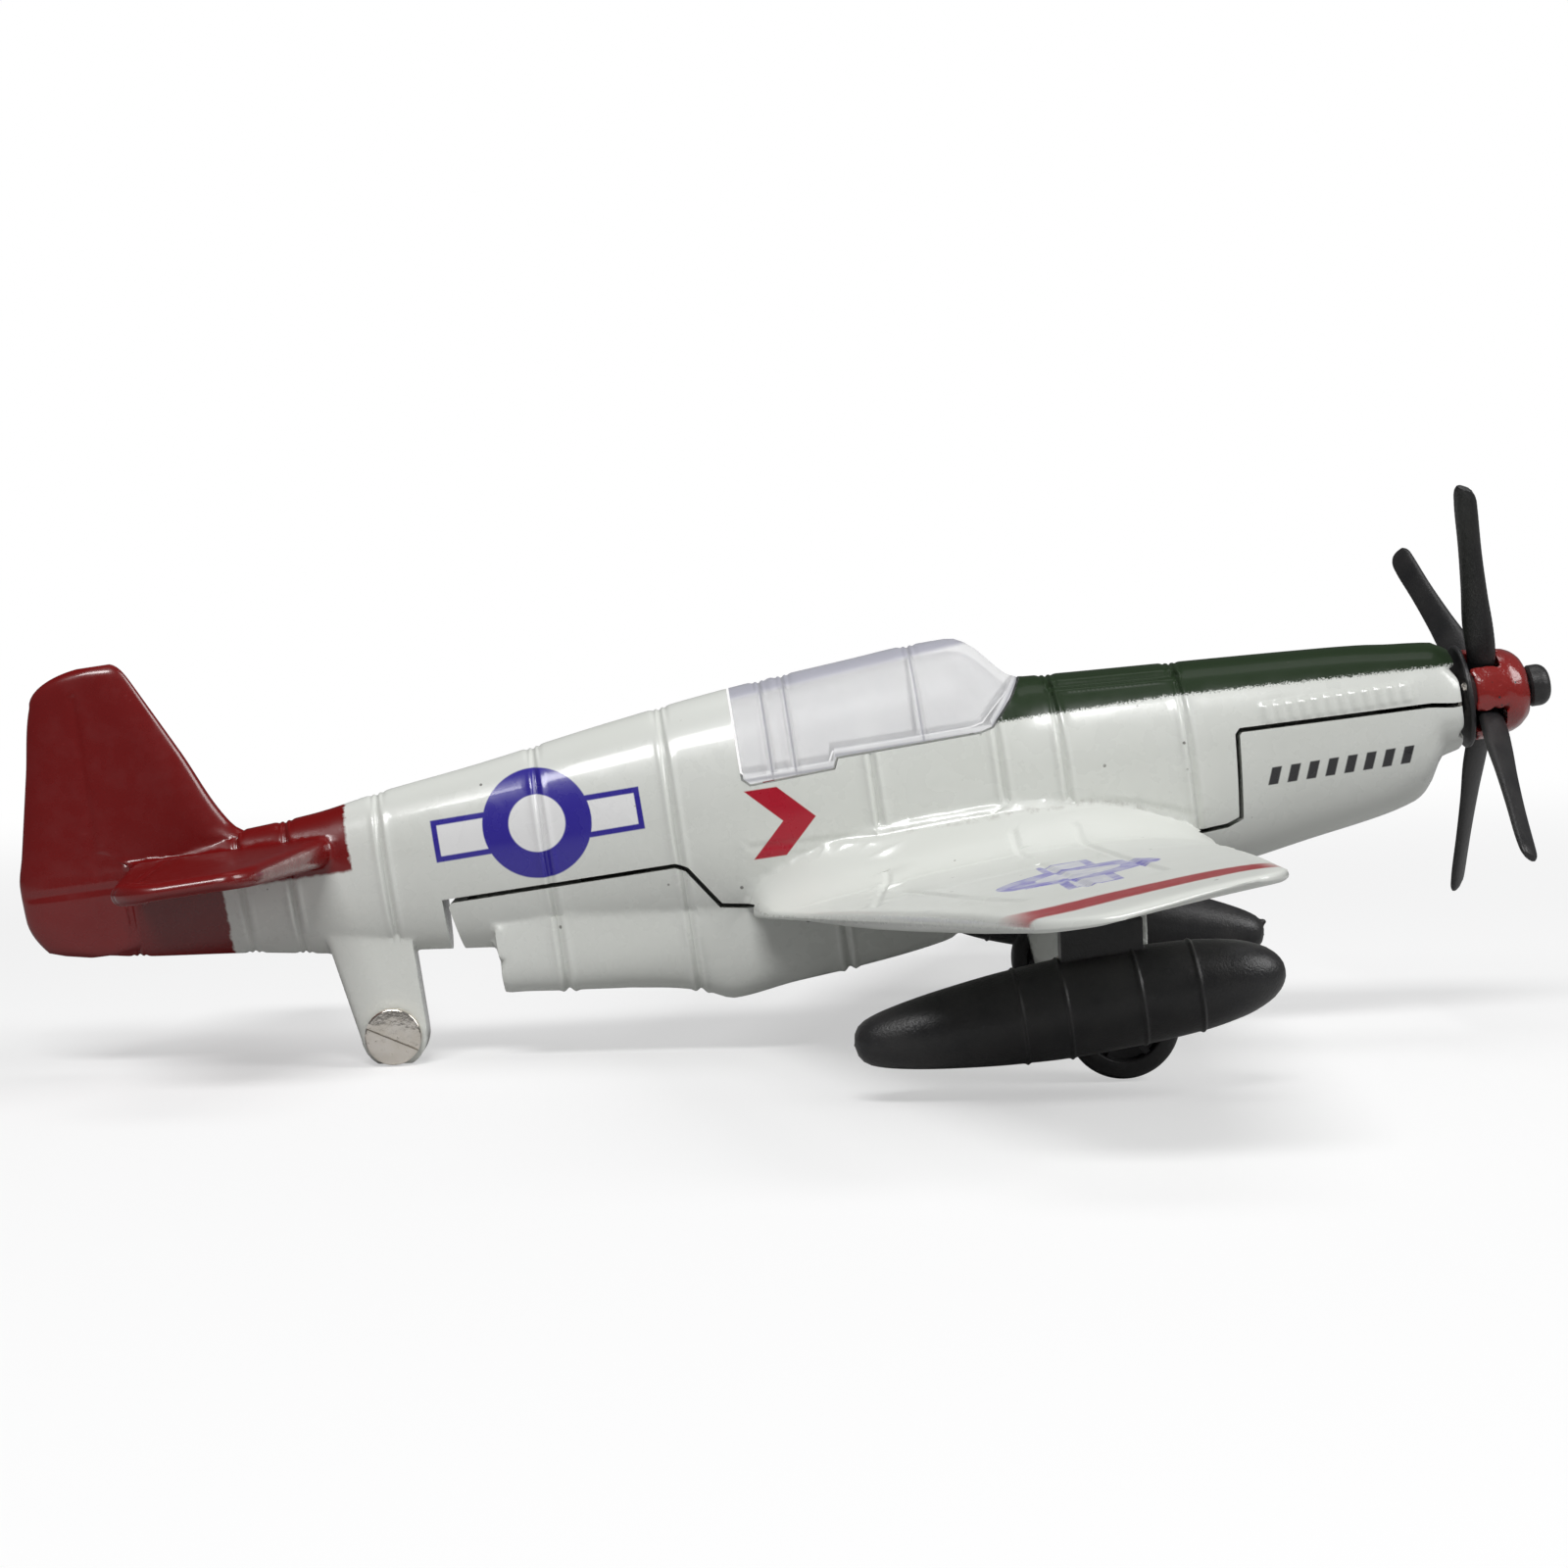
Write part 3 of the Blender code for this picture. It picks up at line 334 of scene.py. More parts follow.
def airfoil(le, te, thickness, crown=0.0, lower=1.0):
    """(u, w) points round a rounded section between two edge points.

    Crown raises the upper side for the root fillet, and lower makes the lower side shallower.
    """
    half = []
    for i in range(AIRFOIL_POINTS):
        x = (1 - math.cos(math.pi * i / (AIRFOIL_POINTS - 1))) / 2
        bulge = 2.969 * math.sqrt(x) - 1.26 * x - 3.516 * x**2 + 2.843 * x**3 - 1.015 * x**4
        half.append((x, max(bulge * thickness / 2, BLUNT_EDGE * min(1.0, i))))
    chord = abs(te[0] - le[0])
    for i, (x, h) in enumerate(half):
        past = 1.0 - (1.0 - x) * chord / EDGE_RADIUS
        if x > 0.5 and past > 0.0:
            half[i] = (x, max(0.02, h * math.sqrt(max(0.0, 1.0 - past * past))))
    points = []
    for side, run in ((1, reversed(half)), (-1, half[1:])):
        for x, h in run:
            if side > 0:
                height = h + crown * interpolate(FILLET_SHARE, x)[0] * (4 * x * (1 - x)) ** 0.5
            else:
                height = -h * lower
            u = le[0] + (te[0] - le[0]) * x
            points.append((u, le[1] + (te[1] - le[1]) * x + height))
    return points


def surface_ring(root, tip, corner, y, crown=0.0):
    """A wing section at y, with the tip's two corners rounded off in plan."""
    t = (abs(y) - root["y"]) / (tip["y"] - root["y"])
    le = [a + (b - a) * t for a, b in zip(root["le"], tip["le"])]
    te = [a + (b - a) * t for a, b in zip(root["te"], tip["te"])]
    thickness = root["thickness"] + (tip["thickness"] - root["thickness"]) * t
    into = max(0.0, abs(y) - (tip["y"] - corner)) / corner
    drawn = 1.0 - math.sqrt(max(0.0, 1.0 - min(1.0, into) ** 2))
    le[0] -= corner * 0.7 * drawn
    te[0] += corner * drawn
    thickness *= 1.0 - tip["thinning"] * drawn
    outboard = min(1.0, max(0.0, 2.0 * t - 0.9))
    lower = 1.0 + (tip["lower"] - 1.0) * outboard
    return [(u, y, w) for u, w in airfoil(le, te, thickness, crown, lower)]


def round_ended_outline(top_u, top_w, centre, radius, parts=10):
    """A tapering arm: a straight top edge, and a round end about a centre."""
    points = [(max(top_u), top_w), (min(top_u), top_w)]
    for i in range(parts + 1):
        angle = math.pi + math.pi * i / parts
        points.append((centre[0] + radius * math.cos(angle), centre[1] + radius * math.sin(angle)))
    return points


def rim(centre, radius, start, end, parts):
    """Points of an arc about (radius, height) centre, from one angle to another."""
    angles = [math.radians(start + (end - start) * i / parts) for i in range(parts + 1)]
    return [(centre[0] + radius * math.cos(a), centre[1] + radius * math.sin(a)) for a in angles]


# Meshes as arrays of points and triangles, in millimetres


def triangles_of(mesh):
    """A mesh's points in millimetres, and its triangles."""
    mesh.calc_loop_triangles()
    points = np.zeros(len(mesh.vertices) * 3)
    mesh.vertices.foreach_get("co", points)
    corners = np.zeros(len(mesh.loop_triangles) * 3, dtype=np.int32)
    mesh.loop_triangles.foreach_get("vertices", corners)
    return points.reshape(-1, 3) / MM, corners.reshape(-1, 3).astype(np.int64)


def mesh_of(name, points, faces):
    mesh = bpy.data.meshes.new(name)
    faces = faces.tolist() if isinstance(faces, np.ndarray) else faces
    mesh.from_pydata((np.asarray(points) * MM).tolist(), [], faces)
    mesh.update()
    return mesh


def loft(name, rings, wrap=False):
    """A closed skin through rings of equally many points. With wrap, the last ring meets the first."""
    rings = np.asarray(rings, dtype=float)
    rows, count = rings.shape[:2]
    faces = []
    for r in range(rows if wrap else rows - 1):
        s = (r + 1) % rows
        for i in range(count):
            j = (i + 1) % count
            faces.append((r * count + i, r * count + j, s * count + j, s * count + i))
    if not wrap:
        faces.append(tuple(reversed(range(count))))
        faces.append(tuple((rows - 1) * count + i for i in range(count)))
    return outward(mesh_of(name, rings.reshape(-1, 3), faces))


def outward(mesh):
    """Turns a closed mesh's faces outward."""
    points, faces = triangles_of(mesh)
    a, b, c = (points[faces[:, k]] for k in range(3))
    if np.einsum("ij,ij->i", a, np.cross(b, c)).sum() < 0:
        mesh.flip_normals()
    return mesh


def prism(name, outline, y_low, y_high):
    """A (u, w) outline carried across from y_low to y_high."""
    return loft(name, [[(u, y, w) for u, w in outline] for y in (y_low, y_high)])


def block(name, low, high):
    (a, b, c), (d, e, f) = low, high
    return loft(name, [[(u, b, c), (u, e, c), (u, e, f), (u, b, f)] for u in (a, d)])


def lathe(name, profile, steps=64, closed=False):
    """A (radius, height) profile turned about z. Unless it is closed, it starts and ends on the axis."""
    rings = []
    body = profile if closed else profile[1:-1]
    angles = [2 * math.pi * i / steps for i in range(steps)]
    for radius, height in body:
        rings.append([(radius * math.cos(a), radius * math.sin(a), height) for a in angles])
    if closed:
        return loft(name, rings, wrap=True)
    points = [point for ring in rings for point in ring]
    count, rows = steps, len(rings)
    faces = []
    for r in range(rows - 1):
        for i in range(count):
            j = (i + 1) % count
            faces.append((r * count + i, r * count + j, (r + 1) * count + j, (r + 1) * count + i))
    points += [(0.0, 0.0, profile[0][1]), (0.0, 0.0, profile[-1][1])]
    first, last = rows * count, rows * count + 1
    for i in range(count):
        j = (i + 1) % count
        faces.append((first, j, i))
        faces.append((last, (rows - 1) * count + i, (rows - 1) * count + j))
    return outward(mesh_of(name, points, faces))


def rod(name, radius, low, high, steps=32):
    return lathe(name, [(0.0, low), (radius, low), (radius, high), (0.0, high)], steps)


def moved(mesh, at=(0.0, 0.0, 0.0), turn=None):
    """The mesh turned by a 4x4 matrix, then moved, in millimetres."""
    if turn is not None:
        mesh.transform(turn)
    mesh.transform(Matrix.Translation(Vector(at) * MM))
    return mesh


def about(axis, angle):
    return Matrix.Rotation(angle, 4, axis)


ALONG_U = about("Y", math.pi / 2)
ALONG_Y = about("X", -math.pi / 2)


def carve(mesh, steps):
    """The mesh after a run of Boolean steps, each an operation and the mesh it takes."""
    made = []

    def placed(part):
        shape = bpy.data.objects.new("carving", part)
        bpy.context.scene.collection.objects.link(shape)
        made.append(shape)
        return shape

    target = placed(mesh)
    for operation, part in steps:
        modifier = target.modifiers.new(operation.lower(), "BOOLEAN")
        modifier.operation = operation
        modifier.solver = "MANIFOLD"
        modifier.object = placed(part)
    graph = bpy.context.evaluated_depsgraph_get()
    result = bpy.data.meshes.new_from_object(target.evaluated_get(graph))
    for shape in made:
        used = shape.data
        bpy.data.objects.remove(shape)
        bpy.data.meshes.remove(used)
    result.name = "carved"
    return result


def edge_keys(points, faces):
    """A number for each edge of each triangle, from which edge_ends finds its two points."""
    edges = np.sort(np.concatenate([faces[:, [0, 1]], faces[:, [1, 2]], faces[:, [2, 0]]]), axis=1)
    return edges[:, 0] * len(points) + edges[:, 1]


def edge_ends(points, keys):
    return points[keys // len(points)], points[keys % len(points)]


def refine(points, faces, near, length):
    """Splits the edges longer than length whose middles are near, until none is left."""
    for _ in range(9):
        keys, inverse = np.unique(edge_keys(points, faces), return_inverse=True)
        start, end = edge_ends(points, keys)
        middle = (start + end) / 2
        split = np.linalg.norm(end - start, axis=1) > length
        split[split] = near(middle[split])
        if not split.any():
            break
        added = np.full(len(keys), -1)
        added[split] = len(points) + np.arange(split.sum())
        points = np.concatenate([points, middle[split]])
        marks = added[inverse.ravel()].reshape(3, -1).T
        faces = split_faces(faces, marks)
    return points, faces


def everywhere(middles):
    return np.ones(len(middles), bool)


def split_faces(faces, marks):
    """Each triangle cut at the new points on its edges: marks holds one for each edge, or -1."""
    count = (marks >= 0).sum(axis=1)
    parts = [faces[count == 0]]
    a, b, c = faces[count == 3].T
    p, q, r = marks[count == 3].T
    parts += [np.stack(t, axis=1) for t in ((a, p, r), (p, b, q), (r, q, c), (p, q, r))]
    for k in range(3):
        turned_faces, turned_marks = np.roll(faces, -k, axis=1), np.roll(marks, -k, axis=1)
        one = (count == 1) & (turned_marks[:, 0] >= 0)
        a, b, c = turned_faces[one].T
        p = turned_marks[one][:, 0]
        parts += [np.stack(t, axis=1) for t in ((a, p, c), (p, b, c))]
        two = (count == 2) & (turned_marks[:, 2] < 0)
        a, b, c = turned_faces[two].T
        p, q, _ = turned_marks[two].T
        parts += [np.stack(t, axis=1) for t in ((p, b, q), (a, p, q), (a, q, c))]
    return np.concatenate(parts)


def face_normals(points, faces):
    a, b, c = (points[faces[:, k]] for k in range(3))
    normal = np.cross(b - a, c - a)
    return normal, normal / np.maximum(np.linalg.norm(normal, axis=1), 1e-12)[:, None]


def point_normals(points, faces):
    weighted, _ = face_normals(points, faces)
    total = np.zeros_like(points)
    for k in range(3):
        for axis in range(3):
            total[:, axis] += np.bincount(faces[:, k], weighted[:, axis], len(points))
    return total / np.maximum(np.linalg.norm(total, axis=1), 1e-12)[:, None]


def creases(points, faces, degrees):
    """Points along the edges where the surface bends by more than an angle."""
    _, normals = face_normals(points, faces)
    owner = np.tile(np.arange(len(faces)), 3)
    keys = edge_keys(points, faces)
    order = np.argsort(keys, kind="stable")
    keys, owner = keys[order], owner[order]
    pair = np.nonzero(keys[1:] == keys[:-1])[0]
    bend = np.einsum("ij,ij->i", normals[owner[pair]], normals[owner[pair + 1]])
    sharp = keys[pair][bend < math.cos(math.radians(degrees))]
    start, end = edge_ends(points, sharp)
    marks = [start + (end - start) * t for t in (0.0, 0.25, 0.5, 0.75, 1.0)]
    return np.concatenate(marks) if len(sharp) else np.zeros((0, 3))


def distance_to(marks, reach):
    """A function from points to their distances from the nearest mark, or 99 beyond reach."""
    tree = KDTree(len(marks))
    for i, mark in enumerate(marks):
        tree.insert(mark, i)
    tree.balance()

    def cell_keys(cells):
        return (cells[:, 0] * 4096 + cells[:, 1]) * 4096 + cells[:, 2]

    own = np.unique(np.floor(marks / reach).astype(np.int64) + 1000, axis=0)
    around = [own + (i, j, k) for i in (-1, 0, 1) for j in (-1, 0, 1) for k in (-1, 0, 1)]
    filled = np.unique(cell_keys(np.concatenate(around)))

    def measure(points):
        distances = np.full(len(points), 99.0)
        close = np.isin(cell_keys(np.floor(points / reach).astype(np.int64) + 1000), filled)
        distances[close] = [tree.find(point)[2] for point in points[close]]
        return distances

    return measure


def relax(points, faces, weight, rounds):
    """Draws each point towards the middle of its neighbours, by its weight."""
    keys = np.unique(edge_keys(points, faces))
    a, b = keys // len(points), keys % len(points)
    count = np.bincount(a, minlength=len(points)) + np.bincount(b, minlength=len(points))
    for _ in range(rounds):
        total = np.zeros_like(points)
        for axis in range(3):
            total[:, axis] += np.bincount(a, points[b, axis], len(points))
            total[:, axis] += np.bincount(b, points[a, axis], len(points))
        middle = total / np.maximum(count, 1)[:, None]
        points = points + (middle - points) * weight[:, None]
    return points


def soften(points, faces, degrees, reach, length, rounds, keep=None):
    """Rounds the creases sharper than an angle over a reach, as thick paint over a casting does."""
    marks = creases(points, faces, degrees)
    if keep is not None:
        marks = marks[keep(marks)]
    nearest = distance_to(marks, reach)
    points, faces = refine(points, faces, lambda middles: nearest(middles) < reach, length)
    weight = np.clip(1.0 - nearest(points) / reach, 0.0, 0.75) * 0.8
    return relax(points, faces, weight, rounds), faces


def segment_distance(px, py, line):
    """The distance of points in a plane from a run of straight segments."""
    best = np.full(px.shape, 99.0)
    for (ax, ay), (bx, by) in zip(line, line[1:]):
        dx, dy = bx - ax, by - ay
        t = np.clip(((px - ax) * dx + (py - ay) * dy) / (dx * dx + dy * dy), 0.0, 1.0)
        best = np.minimum(best, np.hypot(px - ax - t * dx, py - ay - t * dy))
    return best


def groove(distance, depth=0.17, width=0.17):
    """The height of a painted panel line: a soft groove between two low ridges of paint."""
    lips = 0.6 * depth * np.exp(-(((distance - 2.2 * width) / width) ** 2))
    return lips - depth * np.exp(-((distance / width) ** 2))


def piece(name, mesh, body, looks, slot, replaces, angle=35.0):
    """A visible piece in the shared frame, which rides on a body and stands for some nodes."""
    mesh.name = name
    mesh.transform(AIRFRAME)
    mesh.materials.clear()
    mesh.materials.append(looks[slot])
    mesh.shade_smooth()
    mesh.set_sharp_from_angle(angle=math.radians(angle))
    made = bpy.data.objects.new(name, mesh)
    bpy.context.scene.collection.objects.link(made)
    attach(made, body)
    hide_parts(*replaces)
    return made


# Panel lines, as positions in the airframe's axes
FRAME_LINES = (-18.45, -26.5, -30.5, -38.6, -51.5, -59.9, -70.3, -76.4, -79.6, -87.0)
SCOOP_LINES = (-41.8, -51.5, -59.9)
# Each line round the body has its own sections beside it. The others stay LINE_GAP away from it, and its
# groove ends within LINE_REACH.
LINE_STEPS = (0.08, 0.16, 0.25, 0.34, 0.44, 0.56, 0.7)
LINE_STATIONS = (*(-step for step in reversed(LINE_STEPS)), 0.0, *LINE_STEPS)
LINE_GAP = 0.75
LINE_REACH = 0.9
# (u, w) along the fuselage side: the fillet's upper edge, and the nose panel's lower edge
SIDE_LINES = (
    ((-47.0, -2.4), (-38.7, -2.8), (-30.4, -2.6), (-24.9, -2.8), (-22.3, -3.3), (-18.8, -4.6)),
    ((-26.5, 4.75), (-18.45, 4.3)),
)
# (u, |y|) on the wing's upper side
WING_LINES = (
    ((-38.6, 6.0), (-39.6, 14.0), (-40.4, 24.0)),
    ((-30.5, 6.0), (-30.3, 26.0), (-29.8, 43.0)),
    ((-26.5, 6.0), (-26.3, 26.0), (-25.8, 43.0)),
    ((-18.6, 9.3), (-45.0, 9.3)),
    ((-19.5, 22.0), (-41.0, 22.0)),
    ((-29.9, 36.5), (-37.6, 36.5)),
    ((-39.4, 9.3), (-37.6, 22.0), (-35.2, 36.5), (-33.4, 43.0)),
)
# (u, |y|) on the tailplane, and (u, w) on the fin
STAB_LINES = (((-83.9, 2.5), (-83.4, 17.6)), ((-83.4, 17.6), (-85.2, 17.6)))
FIN_LINES = (((-88.7, -2.6), (-88.6, 13.4)), ((-93.3, 1.1), (-87.6, 1.0)))
# The u of the fin's highest point, and the steps of its round top in degrees
FIN_CREST = -87.0
FIN_TOP_ANGLES = (0, 8, 16, 24, 32, 40, 47, 54, 60, 66, 71, 76)
# How far from a line on the skin its points are fine
DETAIL_REACH = 0.56
# A raised strip on each side of the nose, with a row of stubs
EXHAUST = {"u": (-13.5, -3.7), "w": (0.56, 1.5), "count": 12, "height": 0.15}


def closeness(value, low, high, soft):
    """1 between low and high, and falling to 0 over soft on each side."""
    return np.clip((value - low) / soft + 1, 0, 1) * np.clip((high - value) / soft + 1, 0, 1)


def fuselage(name, low, high, sides=FUSELAGE_SIDES, step=0.6, inset=0.0, lowest=-99.0, highest=99.0,
             lines=()):
    """The fuselage's body between two stations, with panel lines round it."""
    stations = list(np.arange(low, high, step))
    stations = [u for u in stations if all(abs(u - line) > LINE_GAP for line in lines)]
    stations += [line + offset for line in lines for offset in LINE_STATIONS]
    stations = sorted(u for u in [*stations, low, high] if low <= u <= high)
    angles = 2 * math.pi * np.arange(sides) / sides
    across, up = np.cos(angles), np.sin(angles)
    rings = []
    for u in sorted(set(stations)):
        top, bottom, half, middle = interpolate(FUSELAGE, u)
        dent = sum(float(groove(abs(u - line))) for line in lines if abs(u - line) < LINE_REACH)
        reach = np.where(up > 0, top, bottom) - middle
        y = (half - inset + dent) * np.copysign(np.abs(across) ** SIDE_POWER, across)
        w = middle + (reach - np.copysign(inset - dent, reach)) * np.abs(up) ** TOP_POWER
        rings.append(np.stack([np.full(sides, u), y, np.clip(w, lowest, highest)], axis=1))
    return loft(name, rings)


def scoop_form(lines=()):
    """The radiator scoop, with its panel lines."""
    stations = np.arange(SCOOP[0][0], SCOOP[-1][0], 0.5)
    stations = [u for u in stations if all(abs(u - line) > LINE_GAP for line in lines)]
    stations += [line + offset for line in lines for offset in LINE_STATIONS]
    rings = []
    for u in sorted([*stations, SCOOP[-1][0]]):
        bottom, half_width = interpolate(SCOOP, u)
        near = [abs(u - line) for line in lines if abs(u - line) < LINE_REACH]
        dent = sum(float(groove(distance, depth=0.16, width=0.18)) for distance in near)
        depth = SCOOP_TOP - bottom + dent
        half_width += dent
        ring = [(u, -half_width, SCOOP_TOP), (u, half_width, SCOOP_TOP)]
        for i in range(41):
            angle = math.pi * i / 40
            y = half_width * math.copysign(abs(math.cos(angle)) ** SCOOP_POWER, math.cos(angle))
            ring.append((u, y, SCOOP_TOP - 1.0 - (depth - 1.0) * math.sin(angle) ** SCOOP_POWER))
        rings.append(ring)
    return loft("scoop", rings)


def slab(section, radius, share=1.0):
    """A section drawn towards an even thickness, with edges rounded to a radius."""
    front, back = max(point[0] for point in section), min(point[0] for point in section)
    half = max(abs(section[i][1] - section[-i - 1][1]) for i in range(len(section))) / 2
    shaped = []
    for i, (u, h) in enumerate(section):
        middle = (h + section[-i - 1][1]) / 2
        past = max(0.0, 1.0 - min(front - u, u - back) / radius)
        flat = middle + math.copysign(half * math.sqrt(1.0 - past * past), h - middle)
        shaped.append((u, h + (flat - h) * share))
    return shaped


def slab_ring(ring, radius, share=1.0):
    section = slab([(u, w) for u, _, w in ring], radius, share)
    return [(u, ring[0][1], w) for u, w in section]


def closed_in(ring, distance, radius):
    """A section thinned about its middle, by its distance from the tip, so that the tip is round."""
    past = min(1.0, max(0.0, 1.0 - distance / radius))
    share = max(0.06, math.sqrt(1.0 - past * past))
    count = len(ring)
    closed = []
    for i, (u, y, w) in enumerate(ring):
        across = ring[-i - 1] if i < count else ring[0]
        middle = (w + across[2]) / 2
        closed.append((u, y, middle + (w - middle) * share))
    return closed


def wing_form():
    half = [2.0, 3.1, *np.arange(4.2, 10.6, 0.4), *np.arange(11.4, 52.6, 0.8)]
    half += [53.0, 53.4, 53.8, 54.2, 54.6, 55.0, 55.3, 55.6, 55.85, 56.05, 56.2, 56.3, 56.36, 56.39, 56.4]
    rings = []
    for y in [-y for y in reversed(half)] + half:
        inboard = max(0.0, FILLET["start"] - max(abs(y), WING_ROOT["y"] - 1.0))
        crown = FILLET["height"] * (inboard / (FILLET["start"] - WING_ROOT["y"] + 1.0)) ** FILLET["rise"]
        ring = surface_ring(WING_ROOT, WING_TIP, WING_CORNER, y, crown)
        evenness = 0.65 * min(1.0, max(0.0, (abs(y) - 15.0) / 30.0))
        ring = slab_ring(ring, radius=0.6, share=evenness)
        rings.append(closed_in(ring, WING_TIP["y"] - abs(y), radius=0.5))
    return loft("wing", rings)


def tailplane_form():
    half = [0.6, *np.arange(1.4, 16.3, 0.6)]
    half += [16.6, 17.0, 17.4, 17.8, 18.2, 18.5, 18.8, 19.0, 19.15, 19.27, 19.36, 19.4]
    rings = []
    for y in [-y for y in reversed(half)] + half:
        ring = surface_ring(STAB_ROOT, STAB_TIP, STAB_CORNER, y)
        rings.append(closed_in(slab_ring(ring, radius=0.65), STAB_TIP["y"] - abs(y), radius=0.55))
    return loft("tailplane", rings)


def wing_middle(u, side):
    """The height halfway between the wing's upper and lower sides."""
    t = (side - WING_ROOT["y"]) / (WING_TIP["y"] - WING_ROOT["y"])
    le, te = ([a + (b - a) * t for a, b in zip(WING_ROOT[key], WING_TIP[key])] for key in ("le", "te"))
    return le[1] + (te[1] - le[1]) * (u - le[0]) / (te[0] - le[0])


def fin_form():
    """The fin and rudder, whose outline ends in a round top."""
    (shoulder, front, back, _), top = FIN[-3], FIN[-1][0]
    rise = top - shoulder
    arc = [shoulder + rise * math.sin(math.radians(angle)) for angle in FIN_TOP_ANGLES]
    rings = []
    for w in [*np.arange(FIN[0][0], shoulder - 0.2, 0.35), *arc]:
        le, te, thickness = interpolate(FIN, w)
        if w > shoulder:
            share = (w - shoulder) / rise
            le = front - 0.5 * (w - shoulder)
            le += (FIN_CREST - le) * (1.0 - (1.0 - share ** 5) ** 0.2)
            te = back + (FIN_CREST - back) * (1.0 - math.sqrt(1.0 - share ** 2))
        past = max(0.0, 1.0 - (top - w) / 0.7)
        thickness *= max(0.35, math.sqrt(max(0.0, 1.0 - past * past)))
        section = slab(airfoil((le, 0.0), (te, 0.0), thickness), radius=2.3)
        rings.append([(u, h, w) for u, h in section])
    return loft("fin", rings)


def at_joins(marks):
    """Which marks lie where forms meet, away from panel lines and from the surfaces' thin edges."""
    u, y, w = marks.T
    side = np.abs(y)
    on_edge = (side > 7.0) | ((u < -72.0) & (side > 2.6)) | ((u < -76.0) & (w > 4.6)) | (u < -91.0)
    return off_frame_lines(marks) & ~on_edge


def lower_space(grow, aft_seam=AFT_SEAM):
    """The space of the lower casting, larger or smaller by grow: nose, belly strip and aft stretch."""
    nose = prism("nose_space", offset_outline(NOSE_SEAM, grow), -SEAM_REACH, SEAM_REACH)
    aft = prism("aft_space", offset_outline(aft_seam, grow), -SEAM_REACH, SEAM_REACH)
    half = BELLY_STRIP["half_width"] + grow
    low = (BELLY_STRIP["u"][0], -half, -15.0)
    high = (BELLY_STRIP["u"][1], half, BELLY_STRIP["top"] + grow)
    return carve(nose, [("UNION", block("belly_space", low, high)), ("UNION", aft)])


def upright(radius, u, y, low, high):
    return moved(rod("upright", radius, low, high), (u, y, 0.0))


def pin_bore(back=PIN_TAIL_U, front=3.0):
    return moved(rod("pin_bore", PIN_BORE, back, front), turn=ALONG_U)


def screw_cutters(name, operation, heads):
    """Boolean steps for a belly screw's shank hole, and with heads for its recess too."""
    u, seat, tip = BELLY_SCREWS[name]
    holes = [(operation, upright(SCREW["shank"] + SLIP, u, 0.0, -15.0, tip + SLIP))]
    if heads:
        holes.append((operation, upright(SCREW["head"] + SLIP, u, 0.0, -15.0, seat + SLIP)))
    return holes


def panel_lines(points, margin=0.0):
    """For each panel line of the casting: the points' distances from it, its depth and its width.

    A distance is 99 outside the line's own area, which can be wider by a margin.
    """
    u, y, w = points.T
    side = np.abs(y)
    on_wing = (side > 5.6 - margin) & (w > wing_middle(u, side)) & (w < 0.5) & (u > -60.0)
    on_tail = (side > 2.2 - margin) & (u < -70.0) & (w > 0.0) & (w < 3.0)
    sets = (
        ((side < 5.3) & (side > 2.0), w, SIDE_LINES[:1], 0.04, 0.18),
        ((w > 3.4) & (side < 4.0), w, SIDE_LINES[1:], 0.11, 0.15),
        (on_wing, side, WING_LINES, 0.09, 0.18),
        (on_tail, side, STAB_LINES, 0.09, 0.15),
        ((side < 1.6) & (u < -77.0), w, FIN_LINES, 0.035, 0.2),
    )
    for area, across, lines, depth, width in sets:
        for line in lines:
            yield np.where(area, segment_distance(u, across, line), 99.0), depth, width


def casting_details(points):
    """How far the casting's skin stands out at each point: panel lines and the exhaust row."""
    u, y, w = points.T
    return sum(groove(*line) for line in panel_lines(points)) + exhaust_height(u, np.abs(y), w)


def exhaust_height(u, side, w):
    """A raised strip with a row of soft stubs along it."""
    (back, front), (low, high) = EXHAUST["u"], EXHAUST["w"]
    strip = closeness(u, back, front, 0.25) * closeness(w, low, high, 0.3) * (side > 2.4)
    pitch = (front - back) / EXHAUST["count"]
    phase = ((u - back) % pitch) / pitch
    stub = np.clip(np.sin(math.pi * np.clip(phase * 1.25, 0, 1)), 0, 1) ** 0.6
    return EXHAUST["height"] * strip * (0.35 + 0.65 * stub)


def near_details(points):
    """Where the casting's skin needs fine points for its details."""
    u, y, w = points.T
    near = np.zeros(len(points), bool)
    for distance, _, _ in panel_lines(points, margin=0.2):
        near |= distance < DETAIL_REACH
    (back, front), (low, high) = EXHAUST["u"], EXHAUST["w"]
    exhaust = (u > back - 0.5) & (u < front + 0.5) & (w > low - 0.5) & (w < high + 0.5)
    return near | (exhaust & (np.abs(y) > 2.4))


def off_frame_lines(marks):
    """Which marks don't lie on the panel lines round the fuselage."""
    on_line = np.abs(marks[:, 0:1] - np.array(FRAME_LINES)).min(axis=1) < LINE_GAP
    return ~(on_line & (np.abs(marks[:, 1]) < 5.2))


# How thick paint rounds the castings' creases
CASTING_EDGES = {"degrees": 22.0, "reach": 0.5, "length": 0.32}


